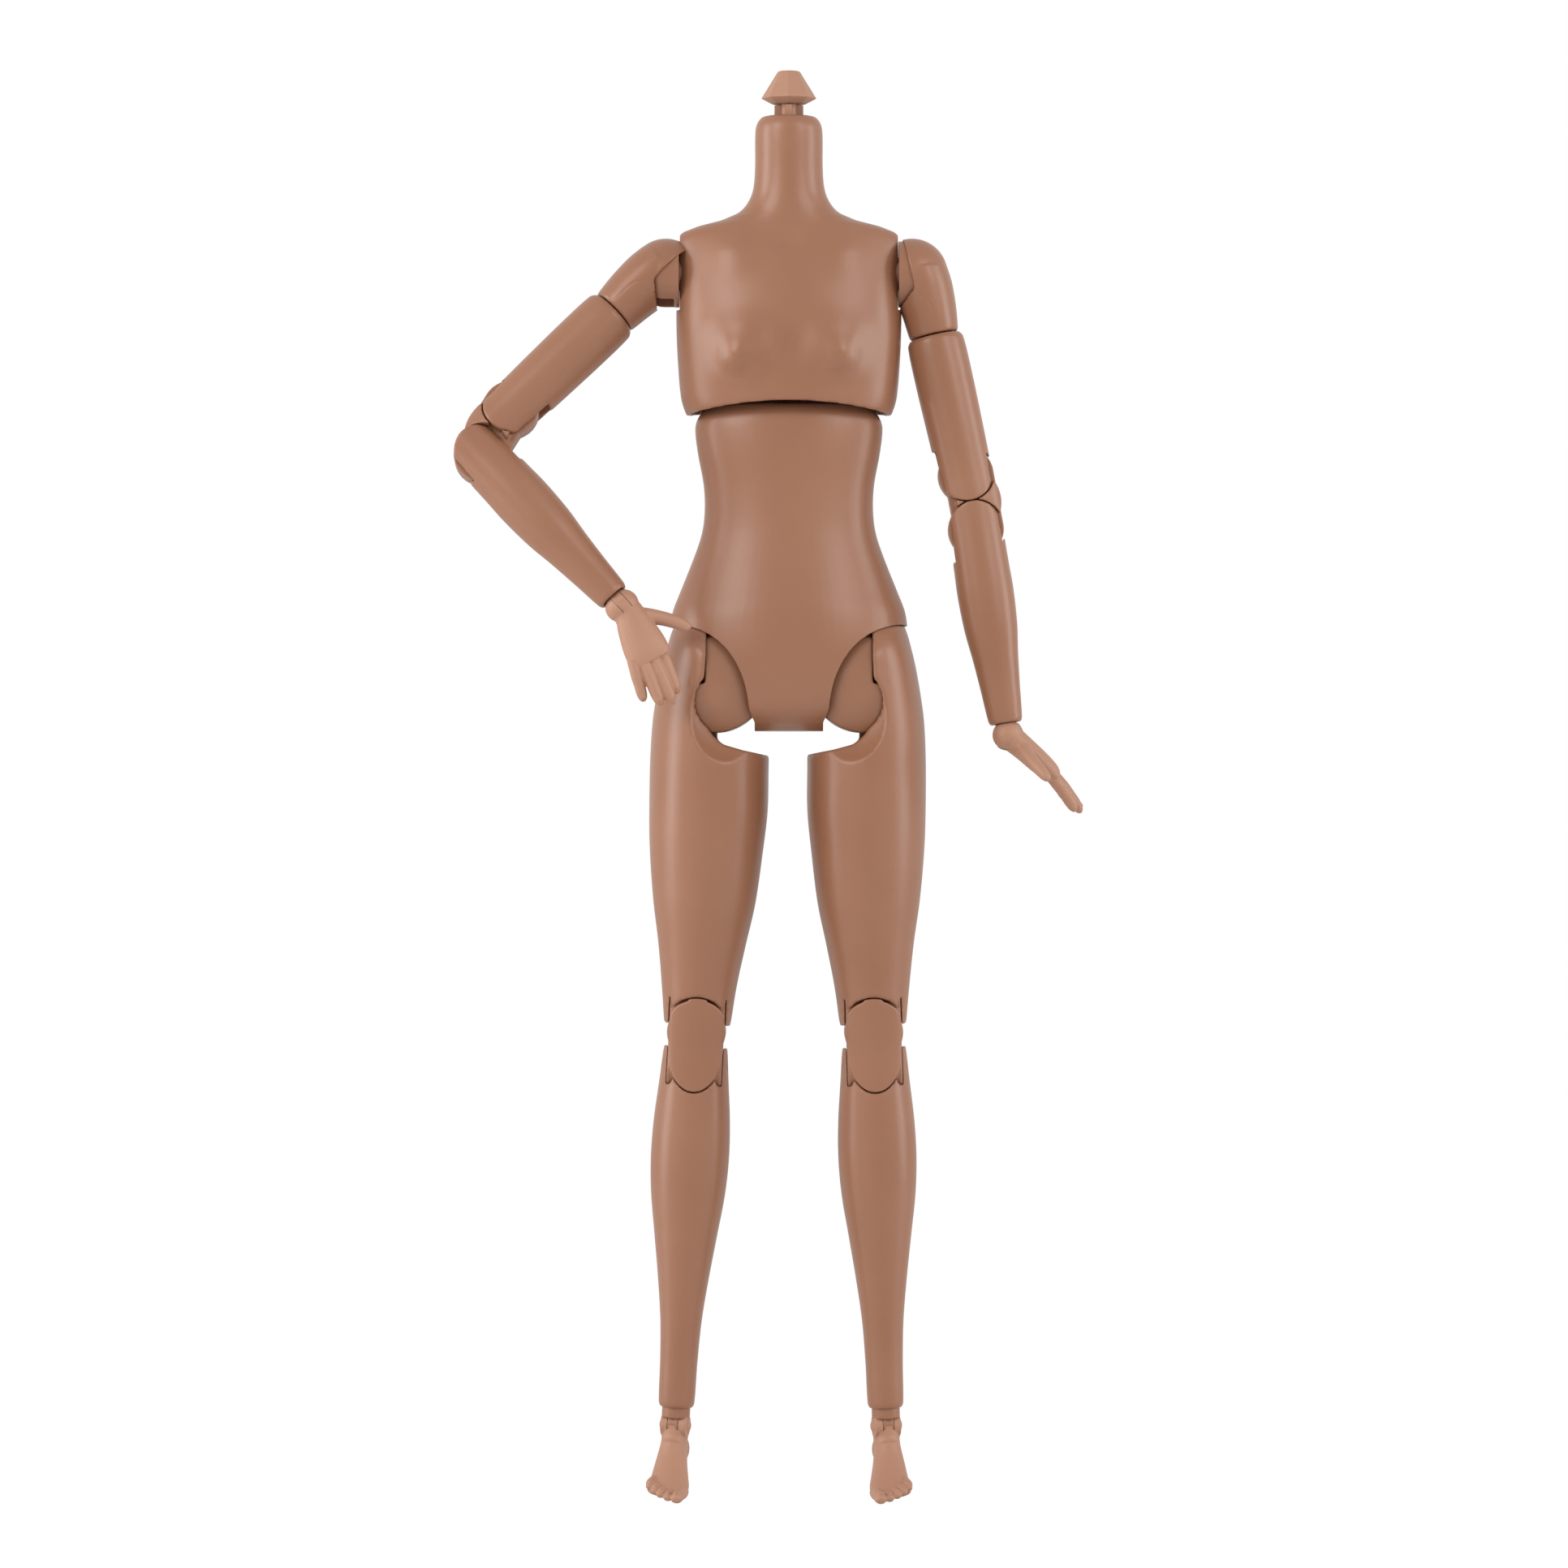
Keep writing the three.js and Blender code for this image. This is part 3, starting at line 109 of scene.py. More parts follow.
def ball(radius, at, stretch=(1, 1, 1), sides=48):
    bpy.ops.object.select_all(action="DESELECT")
    bpy.ops.mesh.primitive_uv_sphere_add(segments=sides, ring_count=sides // 2, radius=radius, location=at)
    made = bpy.context.object
    made.scale = stretch
    bpy.ops.object.transform_apply(location=True, rotation=True, scale=True)
    return made


def rod(radius, low, high, axis, at=(0, 0, 0), sides=40, stretch=(1, 1, 1)):
    """A round bar along an axis, from one distance to another."""
    turn = {"x": (0, math.pi / 2, 0), "y": (math.pi / 2, 0, 0), "z": (0, 0, 0)}[axis]
    centre = Vector(at) + Vector([(low + high) / 2 if axis == a else 0 for a in "xyz"])
    bpy.ops.object.select_all(action="DESELECT")
    bpy.ops.mesh.primitive_cylinder_add(vertices=sides, radius=radius, depth=high - low, location=centre,
                                        rotation=turn)
    bpy.ops.object.transform_apply(location=False, rotation=True, scale=False)
    bpy.context.object.scale = stretch
    bpy.ops.object.transform_apply(location=True, rotation=False, scale=True)
    return bpy.context.object


def block(low, high):
    centre = [(a + b) / 2 for a, b in zip(low, high)]
    bpy.ops.object.select_all(action="DESELECT")
    bpy.ops.mesh.primitive_cube_add(size=1, location=centre)
    bpy.context.object.scale = [b - a for a, b in zip(low, high)]
    bpy.ops.object.transform_apply(location=True, rotation=False, scale=True)
    return bpy.context.object


def picked(body):
    """Makes a body the one that the next steps work on."""
    bpy.ops.object.select_all(action="DESELECT")
    body.select_set(True)
    bpy.context.view_layer.objects.active = body
    return body


def moved(body, at):
    """Carries a body that is drawn round the origin to another point."""
    picked(body).location = at
    bpy.ops.object.transform_apply(location=True, rotation=False, scale=False)
    return body


def worked(body, how, *tools):
    """Cuts the tools from a body, joins them to it, or keeps what they share: DIFFERENCE, UNION or INTERSECT."""
    for tool in tools:
        picked(body)
        bpy.ops.object.modifier_add(type="BOOLEAN")
        modifier = body.modifiers[-1]
        modifier.operation = how
        modifier.solver = "EXACT"
        modifier.object = tool
        bpy.ops.object.modifier_apply(modifier=modifier.name)
        bpy.data.objects.remove(tool, do_unlink=True)
    return body


def pulled(body, at, move, reach):
    """Draws the skin out, or presses it in, softly round one point."""
    nearest = min(body.data.vertices, key=lambda v: (v.co - Vector(at)).length).index
    picked(body)
    bpy.ops.object.mode_set(mode="EDIT")
    bpy.ops.mesh.select_all(action="DESELECT")
    bpy.ops.object.mode_set(mode="OBJECT")
    body.data.vertices[nearest].select = True
    bpy.ops.object.mode_set(mode="EDIT")
    bpy.ops.transform.translate(value=move, use_proportional_edit=True, proportional_edit_falloff="SMOOTH",
                                proportional_size=reach)
    bpy.ops.object.mode_set(mode="OBJECT")


def moulded(body, grain, softening):
    """The skin of a moulding: one even mesh with its edges a little rounded, as plastic leaves the mould."""
    picked(body)
    bpy.ops.object.modifier_add(type="REMESH")
    body.modifiers[-1].mode = "VOXEL"
    body.modifiers[-1].voxel_size = grain
    bpy.ops.object.modifier_apply(modifier=body.modifiers[-1].name)
    bpy.ops.object.modifier_add(type="SMOOTH")
    body.modifiers[-1].factor = 0.5
    body.modifiers[-1].iterations = softening
    bpy.ops.object.modifier_apply(modifier=body.modifiers[-1].name)
    bpy.ops.object.shade_smooth()
    return body


def edged(body, angle=40):
    """Smooth shading that stops at the edges of clean cuts."""
    picked(body)
    bpy.ops.object.shade_smooth_by_angle(angle=math.radians(angle))
    return body


def mirrored(body, name):
    """The same piece for the other side of the doll, with its own mesh."""
    picked(body)
    bpy.ops.object.duplicate(linked=False)
    other = bpy.context.object
    other.name = name
    other.scale = (-1, 1, 1)
    bpy.ops.object.transform_apply(location=False, rotation=False, scale=True)
    bpy.ops.object.mode_set(mode="EDIT")
    bpy.ops.mesh.select_all(action="SELECT")
    bpy.ops.mesh.normals_make_consistent(inside=False)
    bpy.ops.object.mode_set(mode="OBJECT")
    return other


def fitted(body, place, material, rides_on, stands_for):
    """Sets a finished piece in its place on the doll, in metres, and says what it is."""
    picked(body).matrix_world = Matrix.Scale(0.001, 4) @ place @ body.matrix_world
    bpy.ops.object.transform_apply(location=True, rotation=True, scale=True)
    body.data.materials.clear()
    body.data.materials.append(material)
    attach(body, rides_on)
    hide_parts(*stands_for)
    return body


class Wire:
    """A socket in a material's nodes, so that shading can be written as sums."""

    def __init__(self, tree, socket=None):
        self.tree = tree
        self.socket = socket

    def node(self, kind, settings, inputs, output):
        made = self.tree.nodes.new(kind)
        for key, value in settings.items():
            setattr(made, key, value)
        for key, value in inputs.items():
            if isinstance(value, Wire):
                self.tree.links.new(value.socket, made.inputs[key])
            else:
                made.inputs[key].default_value = value
        return Wire(self.tree, made.outputs[output])

    def maths(self, operation, *values):
        return self.node("ShaderNodeMath", {"operation": operation}, dict(enumerate(values)), 0)

    def __add__(self, other):
        return self.maths("ADD", self, other)

    __radd__ = __add__

    def __sub__(self, other):
        return self.maths("SUBTRACT", self, other)

    def __rsub__(self, other):
        return self.maths("SUBTRACT", other, self)

    def __mul__(self, other):
        return self.maths("MULTIPLY", self, other)

    __rmul__ = __mul__


def doll_plastic(name, colour, shade, roughness, grain_depth, seam=None):
    """Coloured plastic as moulded: cloudy colour, faint specks, uneven sheen and a very fine grain.
    seam is the direction across a glued parting line that runs through the origin, if the piece has one."""
    material = bpy.data.materials.new(name)
    material.use_nodes = True
    tree = material.node_tree
    shader = tree.nodes["Principled BSDF"]
    start = Wire(tree)
    place = start.node("ShaderNodeTexCoord", {}, {}, "Object")
    cloud = start.node("ShaderNodeTexNoise", {}, {"Vector": place, "Scale": 45.0, "Detail": 3.0}, "Fac")
    specks = start.node("ShaderNodeTexNoise", {}, {"Vector": place, "Scale": 1400.0, "Detail": 2.0}, "Fac")
    grain = start.node("ShaderNodeTexNoise", {}, {"Vector": place, "Scale": 2600.0, "Detail": 3.0}, "Fac")
    waves = start.node("ShaderNodeTexNoise", {}, {"Vector": place, "Scale": 160.0, "Detail": 2.0}, "Fac")
    tint = start.node("ShaderNodeMix", {"data_type": "RGBA"},
                      {0: (cloud - 0.35) * 1.6, 6: (*shade, 1), 7: (*colour, 1)}, 2)
    speckled = start.node("ShaderNodeMix", {"data_type": "RGBA", "blend_type": "MULTIPLY"},
                          {0: (specks - 0.5) * 0.5, 6: tint, 7: (0.9, 0.86, 0.82, 1)}, 2)
    height = grain * 0.3 + waves * 0.7
    final = speckled
    if seam:
        across = start.node("ShaderNodeVectorMath", {"operation": "DOT_PRODUCT"}, {0: place, 1: seam}, "Value")
        line = start.node("ShaderNodeMapRange", {"interpolation_type": "SMOOTHSTEP"},
                          {"Value": across.maths("ABSOLUTE", across), "From Min": 0.00005, "From Max": 0.00022,
                           "To Min": 1.0, "To Max": 0.0}, 0)
        final = start.node("ShaderNodeMix", {"data_type": "RGBA", "blend_type": "MULTIPLY"},
                           {0: line * 0.45, 6: speckled, 7: (0.45, 0.36, 0.3, 1)}, 2)
        height = height - line * 4.0
    tree.links.new(final.socket, shader.inputs["Base Color"])
    sheen = roughness + (cloud - 0.5) * 0.12 + (specks - 0.5) * 0.06
    tree.links.new(sheen.socket, shader.inputs["Roughness"])
    bump = start.node("ShaderNodeBump", {}, {"Height": height, "Strength": 1.0, "Distance": grain_depth}, 0)
    tree.links.new(bump.socket, shader.inputs["Normal"])
    shader.inputs["IOR"].default_value = 1.46
    shader.inputs["Specular IOR Level"].default_value = 0.5
    return material


tan = (0.323, 0.150, 0.086)
tan_shade = (0.284, 0.124, 0.067)
tan_roughness = 0.35
tan_grain = 0.000012
torso_plastic = doll_plastic("satin_tan_plastic_glued", tan, tan_shade, tan_roughness, tan_grain,
                             seam=(0, 1, 0))

torso_place = Matrix.Translation((0, 0, -waist_height))
torso = drawn_body("lower_torso", torso_rows, step=1.2, sides=64)
torso = worked(torso, "UNION", ball(1, (0, 0, belly_top_height), (15, 8, 4)))
torso = worked(torso, "DIFFERENCE", rod(waist_post_hole, 200.2, 220, "z"))
for side in (-1, 1):
    pulled(torso, (side * 7.5, 13, 174), (0, 0.9, 0), 8)        # the seat
pulled(torso, (0, 10, 190), (0, -0.8, 0), 7)                    # the hollow of the back
torso = moulded(torso, 0.38, 5)
for side in (-1, 1):
    hollow = ball(hip_socket_radius, (side * hip_x, 0, hip_height), sides=64)
    behind = rod(13, 0, 30, "y", (side * hip_x, 0, hip_height), sides=64)
    behind = worked(behind, "DIFFERENCE", block((-40, -1, hip_height + 3), (40, 40, 190)))
    hollow = worked(hollow, "UNION", behind)
    wall = block((min(0, side * 6.5), -30, 140), (max(0, side * 6.5), 30, 190))
    hollow = worked(hollow, "DIFFERENCE", wall)
    torso = worked(torso, "DIFFERENCE", hollow)
edged(torso)
fitted(torso, torso_place, torso_plastic, "torso", ["torso_front", "torso_back"])

# Chest and neck. A thin shell below, open towards the belly, with the bust moulded on its front; the shoulders
# and the neck are solid around the joints. It is glued from two halves at the sides, like the lower torso.
chest_rows = [
    (204, 18.4, 18.4, 12, 10.8),
    (206.6, 19.7, 19.7, 12.8, 11.3),
    (209.5, 20.6, 20.6, 13.1, 11.6),
    (218, 21.3, 21.3, 13.1, 11.6),
    (224, 21.5, 21.5, 12.7, 11.5),
    (230, 21.5, 21.5, 11.6, 11.2),
    (236, 21.6, 21.6, 9.6, 10),
    (239.7, 21.5, 21.5, 8, 8.6),
    (241.3, 20.2, 20.2, 7.3, 7.9),
    (242.4, 17.4, 17.4, 7, 7.6),
    (243.5, 13, 13, 6.9, 7.4),
    (244.8, 9.9, 9.9, 6.8, 7.2),
    (246.4, 8.2, 8.2, 6.7, 7),
    (249, 6.95, 6.95, 6.5, 6.7),
    (253, 6.5, 6.5, 6.4, 6.5),
    (260.8, 6.4, 6.4, 6.4, 6.4),
    (262.4, 5.9, 5.9, 5.9, 5.9),
    (263.3, 5.1, 5.1, 5.1, 5.1),
]
lip_centre_height = 208.4
lip_side_height = 206
lip_half_width = 20
lip_wall = 1.0
chest_wall = 1.6
hollow_top = 222
neck_bore_radius = 3.9
shoulder_height = 233.2
shoulder_socket_radius = 3.5
arm_seam_x = 20.8
arm_seam_bottom = 226.2

chest = drawn_body("chest_shell", chest_rows, step=1.0, sides=96)
for side in (-1, 1):
    pulled(chest, (side * 9.6, -12.9, 218.6), (0, -1.7, 0), 9)      # the bust
    pulled(chest, (side * 10.6, -14, 216.6), (0, -1.0, -0.3), 5)
    pulled(chest, (side * 11, -9, 237.5), (0, -0.8, 0.2), 7.5)      # the collarbones
    pulled(chest, (side * 10, 11.5, 228), (0, 0.7, 0), 8)           # the shoulder blades
pulled(chest, (0, -13, 218), (0, 0.6, 0), 6.5)
pulled(chest, (0, -9, 238.5), (0, 0.5, 0), 4)
for height in (212, 220, 228):
    pulled(chest, (0, 11.5, height), (0, -0.5, 0), 5)               # the spine

lip_rise = lip_centre_height - lip_side_height
lip_radius = (lip_half_width**2 + lip_rise**2) / (2 * lip_rise)
below_lip = rod(lip_radius, -30, 30, "y", (0, 0, lip_centre_height - lip_radius), sides=256)
chest = worked(chest, "DIFFERENCE", below_lip)
inside_rows = []
for z, *reach in chest_rows:
    if z < hollow_top:
        wall = lip_wall if z < 210.4 else chest_wall
        inside_rows.append((z, *[value - wall for value in reach]))
inside_rows = [(203, *inside_rows[0][1:])] + inside_rows + [(hollow_top, *inside_rows[-1][1:])]
hollow = drawn_body("chest_hollow", inside_rows, step=2, sides=48)
chest = worked(chest, "DIFFERENCE", hollow, rod(neck_bore_radius, 250.3, 270, "z"))
chest = moulded(chest, 0.38, 4)
for side in (-1, 1):
    socket = rod(shoulder_socket_radius, -20, 20, "x", (side * 31, 0, shoulder_height))
    near_x, far_x = sorted((side * arm_seam_x, side * 40))
    chest = worked(chest, "DIFFERENCE", socket, block((near_x, -20, arm_seam_bottom), (far_x, 20, 253)))
edged(chest)
fitted(chest, torso_place, torso_plastic, "chest", ["chest_front", "chest_back"])

# Legs. Each hip ball swings on an axle in the torso and carries the thigh on a pin, about which the leg spreads.
# Its front and back are gently domed, and a rounded lobe below fills the step in the thigh.
outward = {"right": -1, "left": 1}
hip_ball_radius = 13.4
hip_disc_radius = 12.9
hip_lobe_radius = 9.8
hip_core_radius = 8.3
open_angle = 38
dome_reach = 11.8
dome_curve = 15.5
pin_bore = 1.3
limb_plastic = doll_plastic("satin_tan_plastic", tan, tan_shade, tan_roughness, tan_grain)


def hip_place(name):
    return torso_place @ Matrix.Translation((outward[name] * hip_x, 0, hip_height))


def paired(piece, name, place, *where, material=limb_plastic, slot_name="skin_plastic", rides_on=None):
    """Sets a finished piece on the left side of the doll, and its mirror image on the right."""
    piece.name = f"{name}_left"
    for side, body in (("left", piece), ("right", mirrored(piece, f"{name}_right"))):
        fitted(body, place(side, *where), material, f"{side}_{rides_on or name}", [f"{side}_{name}"])


def domed_disc(radius, grow, curve=dome_curve):
    """A disc with domed faces about the axis on which the leg spreads."""
    front = ball(curve + grow, (0, curve - dome_reach, 0), sides=96)
    back = ball(curve + grow, (0, dome_reach - curve, 0), sides=96)
    lens = worked(front, "INTERSECT", back)
    return worked(lens, "INTERSECT", rod(radius + grow, -20, 20, "y", sides=96))


def hip_side(edge_angle):
    """What of the ball lies inward of the line that the open thigh reaches."""
    wedge = block((-40, -20, -40), (1.5, 20, 40))
    wedge.matrix_world = Matrix.Rotation(-edge_angle, 4, "Y") @ wedge.matrix_world
    bpy.ops.object.transform_apply(location=True, rotation=True, scale=True)
    return wedge


hip = ball(hip_ball_radius, (0, 0, 0), sides=96)
hip = worked(hip, "INTERSECT", domed_disc(hip_disc_radius, 0))
inner = hip_side(math.radians(open_angle))
inner = worked(inner, "DIFFERENCE", block((-40, -30, -40), (40, 30, -6.7)))
lobe = rod(hip_lobe_radius, -20, 20, "y", sides=96)
lobe = worked(lobe, "DIFFERENCE", block((-40, -30, -0.6), (40, 30, 40)), block((4.5, -30, -40), (40, 30, 40)))
core = rod(hip_core_radius, -20, 20, "y", sides=96)
outline = worked(worked(core, "UNION", lobe), "UNION", inner)
hip = worked(hip, "INTERSECT", outline)
open_part = block((-40, -20, -40), (1.9, 20, 40))
open_part = worked(open_part, "UNION", block((1, -20.1, -40.1), (4.5, 20.1, -0.6)))
hip = worked(hip, "INTERSECT", worked(open_part, "UNION", domed_disc(7, 0, 9.6)))
hip = worked(hip, "DIFFERENCE", block((-30, -20, -20), (-7.2, 20, 20)),
             block((-2.4, -2.5, -20), (20, 2.5, 3)), rod(2.3, -20, -3.1, "x"), rod(pin_bore, -6.4, 6.4, "y"))
hip = moulded(hip, 0.26, 5)
paired(hip, "hip_ball", hip_place, rides_on="hip")

# Thigh, a hollow moulding, full at the hip and tapering to the knee. Its wall wraps round the outside of the
# hip ball and leaves it open to the front, and a tongue inside holds the pin. The knee end is a fork with an arch
# cut in its front, and is cut away behind so that the leg can fold.
thigh_rows = [
    (13, 7, 7, 8, 8),
    (9.8, 8.6, 8.6, 10, 10),
    (6, 9.6, 9.6, 12.4, 12.4),
    (2, 10.4, 10.4, 12.8, 12.8),
    (-3, 11.1, 10.6, 12.9, 13.2),
    (-8, 11.6, 10.9, 13.1, 13.8),
    (-15, 11.7, 11, 13, 14.2),
    (-24, 11.4, 11.3, 12.6, 13.6),
    (-32, 10.9, 10.8, 12, 12.6),
    (-42, 9.7, 9.9, 10.8, 11),
    (-50, 8.3, 8.5, 9.4, 9.6),
    (-58, 7.2, 7.2, 8, 8.4),
    (-65.6, 6.3, 6.4, 7, 7.6),
]
leg_spread = {"right": 3.1, "left": 1.85}
knee_upper = 60.8
knee_link_length = 13
knee_radius = 4.4
knee_half = 4.9
knee_wall = 5.25
knee_slot_radius = 4.8
hip_gap = 0.3
thigh_wall = 0.75
pin_socket = 1.4


def leg_place(name, down=0.0):
    """Where a piece of a leg stands, the given way down from the hip."""
    spread = Matrix.Rotation(math.radians(-outward[name] * leg_spread[name]), 4, "Y")
    return hip_place(name) @ spread @ Matrix.Translation((0, 0, -down))


def sliced(body, *planes):
    """Cuts a body along planes, each given by a point and the direction of what goes, and closes the cuts."""
    picked(body)
    for point, away in planes:
        bpy.ops.object.mode_set(mode="EDIT")
        bpy.ops.mesh.select_all(action="SELECT")
        bpy.ops.mesh.bisect(plane_co=point, plane_no=Vector(away).normalized(), use_fill=True, clear_outer=True)
        bpy.ops.mesh.select_all(action="SELECT")
        bpy.ops.mesh.normals_make_consistent(inside=False)
        bpy.ops.object.mode_set(mode="OBJECT")
    return body


def knee_arch(end_z, towards, half, front, back, tall=4.4):
    """The rounded opening in the front of a knee fork."""
    centre = end_z + towards * tall
    arch = moved(rod(1, front, back, "y", sides=64, stretch=(half, 1, tall)), (0, 0, centre))
    far = centre + towards * 20
    straight = block((-half, front, min(centre, far)), (half, back, max(centre, far)))
    return worked(arch, "UNION", straight)


def behind_knee(near_z, far_z, towards):
    """What is cut away behind a knee: all behind y = -1 on one side of a slope from near_z to far_z."""
    low, high = sorted((min(near_z, far_z) if towards > 0 else max(near_z, far_z), near_z + towards * 60))
    body = block((-30, -1, low), (30, 60, high))
    slope = (far_z - near_z) / 10
    return sliced(body, ((0, -1, near_z), (0, slope * towards, -towards)))


thigh = drawn_body("thigh_left", thigh_rows, step=1.5, sides=64)
lower = block((-30, -30, -90), (30, 30, -2))
round_top = ball(hip_ball_radius, (0, 0, 0), sides=96)
thigh = worked(thigh, "INTERSECT", worked(lower, "UNION", round_top))
ledge = [(1.9, -7.5), (-0.4, -10.7), (-2.2, -12), (-6, -12.9), (-9.9, -13.5)]
opening = sliced(block((-20, -20, -16), (1.9, 20, 20)),
                 *[((x, 0, z), (z - z1, 0, x1 - x)) for (x, z), (x1, z1) in zip(ledge, ledge[1:])])
ring = domed_disc(hip_lobe_radius, hip_gap)
ring = worked(ring, "DIFFERENCE", block((-40, -30, 0), (40, 30, 40)), block((5, -30, -40), (40, 30, 40)))
inside_rows = [(z, *[value - thigh_wall for value in reach]) for z, *reach in thigh_rows[:9]]
inside = drawn_body("thigh_inside", inside_rows, sides=64)
socket = worked(domed_disc(hip_core_radius, hip_gap), "INTERSECT", inside)
thigh = worked(thigh, "DIFFERENCE", opening, socket, ring,
               ball(12, (-5, -19.6, -6), sides=96), ball(12, (-5, 19.6, -6), sides=96))
tongue = worked(block((-0.9, -2.2, -15), (3.2, 2.2, 0)), "UNION", rod(2.4, -2.2, 2.2, "y"))
thigh = worked(thigh, "UNION", worked(tongue, "DIFFERENCE", rod(pin_bore, -20, 20, "y")))
thigh = worked(thigh, "DIFFERENCE",
               rod(knee_slot_radius, -knee_wall, knee_wall, "x", (0, 0, -knee_upper)),
               block((-knee_wall, -knee_slot_radius, -80), (knee_wall, knee_slot_radius, -knee_upper)),
               block((-knee_wall, 0, -80), (knee_wall, 20, -knee_upper + 3.3)),
               knee_arch(-60.2, -1, knee_half + 0.3, -20, 0),
               rod(pin_socket, -6, 6, "x", (0, 0, -knee_upper)),
               behind_knee(-66.1, -57.6, -1))
thigh = moulded(thigh, 0.37, 5)
paired(thigh, "thigh", leg_place)

# Knee link, one piece with a pin at each end. Its front is a kneecap that fills the arches of both forks, flush
# with the leg, with small swellings at its sides and a low step at the top where it meets the thigh.
kneecap_half = knee_half + 0.35
kneecap_top = -3.85
kneecap_bottom = -9.5


def together(body, *others):
    """Puts closed forms that run into each other in one mesh, which moulding then makes one skin."""
    bpy.ops.object.select_all(action="DESELECT")
    for other in others:
        other.select_set(True)
    body.select_set(True)
    bpy.context.view_layer.objects.active = body
    bpy.ops.object.join()
    return body


knee_link = rod(knee_radius, -8, 8, "x", sides=64)
knee_link = worked(knee_link, "UNION", rod(knee_radius, -8.1, 8.1, "x", (0, 0, -knee_link_length), sides=64),
                   block((-7.9, -knee_radius + 0.02, -knee_link_length), (7.9, knee_radius - 0.02, 0)),
                   ball(1, (0, 0, -knee_link_length / 2), (5.8, 5.3, 6.9), sides=64))
upper_end = rod(1, -9, 9, "y", stretch=(kneecap_half, 1, knee_radius - 0.35), sides=64)
crown = worked(rod(1, -9.1, 9.1, "y", stretch=(kneecap_half, 1, knee_radius), sides=64), "INTERSECT",
               block((-1.75, -10, 1), (1.75, 10, 9)))
waisted = block((-knee_half - 0.32, -9.3, -knee_link_length - 6), (knee_half + 0.32, 9.3, 0))
outline = worked(upper_end, "UNION", waisted, crown, rod(5.6, -4.6, 4.6, "y", (0, 0, -6.1), sides=48))
knee_link = worked(knee_link, "INTERSECT", outline)
kneecap = drawn_body("kneecap", [(1.5, 6.9, 6.9, 7.5, 2), (-4, 6.6, 6.6, 7.1, 2), (-10, 6.4, 6.4, 6.2, 2),
                                 (-18, 6.6, 6.6, 6, 2)], sides=64)
edge = moved(rod(1, -20, -3, "y", sides=64, stretch=(kneecap_half, 1, 3.9)), (0, 0, kneecap_top))
crown = worked(rod(1, -20.1, -3.1, "y", sides=64, stretch=(kneecap_half, 1, 4.25)), "INTERSECT",
               block((-1.75, -30, 1.5), (1.75, 0, 9)))
crown = moved(crown, (0, 0, kneecap_top))
toe_end = moved(rod(1, -20.2, -3.2, "y", sides=64, stretch=(kneecap_half, 1, 7.95)), (0, 0, kneecap_bottom))
edge = worked(edge, "UNION", crown, toe_end,
              block((-knee_half - 0.33, -20.3, kneecap_bottom), (knee_half + 0.33, -3.3, kneecap_top)))
knee_link = together(knee_link, worked(kneecap, "INTERSECT", edge))
knee_link = moulded(knee_link, 0.18, 2)
knee_link = worked(knee_link, "DIFFERENCE", rod(pin_bore, -9, 9, "x"),
                   rod(pin_bore, -9, 9, "x", (0, 0, -knee_link_length)))
knee_link = moulded(knee_link, 0.2, 1)
paired(knee_link, "knee_link", leg_place, knee_upper)

# Calf, a slim moulding, full at the back and nearly straight along the shin. Its knee end is a fork like the
# thigh's with a taller arch in front, and its plain lower end has a round hole that the ankle peg turns in.
calf_rows = [
    (4, 6.1, 6.1, 5.6, 6.4),
    (-2.2, 6.6, 6.6, 5.9, 8),
    (-10.2, 7.3, 7.3, 6, 9),
    (-17.2, 7.5, 7.5, 6, 9.4),
    (-24.2, 7.1, 7.1, 5.7, 8.8),
    (-32.2, 6, 6, 5.2, 7.2),
    (-40.2, 4.9, 4.9, 4.7, 5.6),
    (-48.2, 4, 4, 4.2, 4.6),
    (-56.2, 3.6, 3.6, 3.8, 4),
    (-64.3, 3.42, 3.42, 3.5, 3.6),
    (-65, 3.05, 3.05, 3.2, 3.3),
]
calf_length = 65
ankle_peg_hole = 2.3

calf = drawn_body("calf_left", calf_rows, step=1.2, sides=56)
calf = worked(calf, "DIFFERENCE",
              rod(knee_slot_radius, -knee_wall, knee_wall, "x"),
              block((-knee_wall, -knee_slot_radius, 0), (knee_wall, knee_slot_radius, 20)),
              block((-knee_wall, 0, -3), (knee_wall, 20, 20)),
              knee_arch(-4.7, 1, knee_half + 0.3, -20, 0, 8.2),
              rod(pin_socket, -6, 6, "x"),
              behind_knee(4.5, -3, 1),
              rod(ankle_peg_hole, -70, -56.7, "z"))
calf = moulded(calf, 0.3, 4)
paired(calf, "calf", leg_place, knee_upper + knee_link_length)

# Foot, in soft vinyl, arched for high heels. It has a heel, a slim instep, five toes with nails, and a slot at
# the ankle for the peg's eye. A station of a limb is (x, y, z, half width, half thickness), and a toe is
# (x at its base, x at its tip, how far forward it reaches, radius, height).
foot_stations = [
    (0, 0, 0.6, 2.6, 2.1),
    (0, 0, -0.6, 2.7, 2.4),
    (0, 0.1, -2.4, 2.5, 2.8),
    (-0.05, -0.5, -4.6, 2.6, 3.5),
    (-0.4, -2.9, -7.3, 3.1, 3.0),
    (-1.0, -5.9, -9.5, 3.6, 2.35),
    (-1.5, -8.4, -10.8, 3.95, 1.85),
    (-1.75, -10.2, -11.4, 3.8, 1.3),
    (-1.8, -11.2, -11.7, 3.3, 0.8),
]
toes = [
    (-4.5, -4.5, -14.2, 1.25, -12.1),
    (-2.75, -2.75, -13.9, 1.0, -12),
    (-1.2, -1.2, -13.4, 0.98, -11.6),
    (0.2, 0.15, -12.7, 0.95, -11.1),
    (1.5, 1.4, -11.8, 0.9, -10.5),
]
foot_turn = {"right": 14, "left": 12}
ankle_gap = 3.4
ankle_slot_half = 1.12
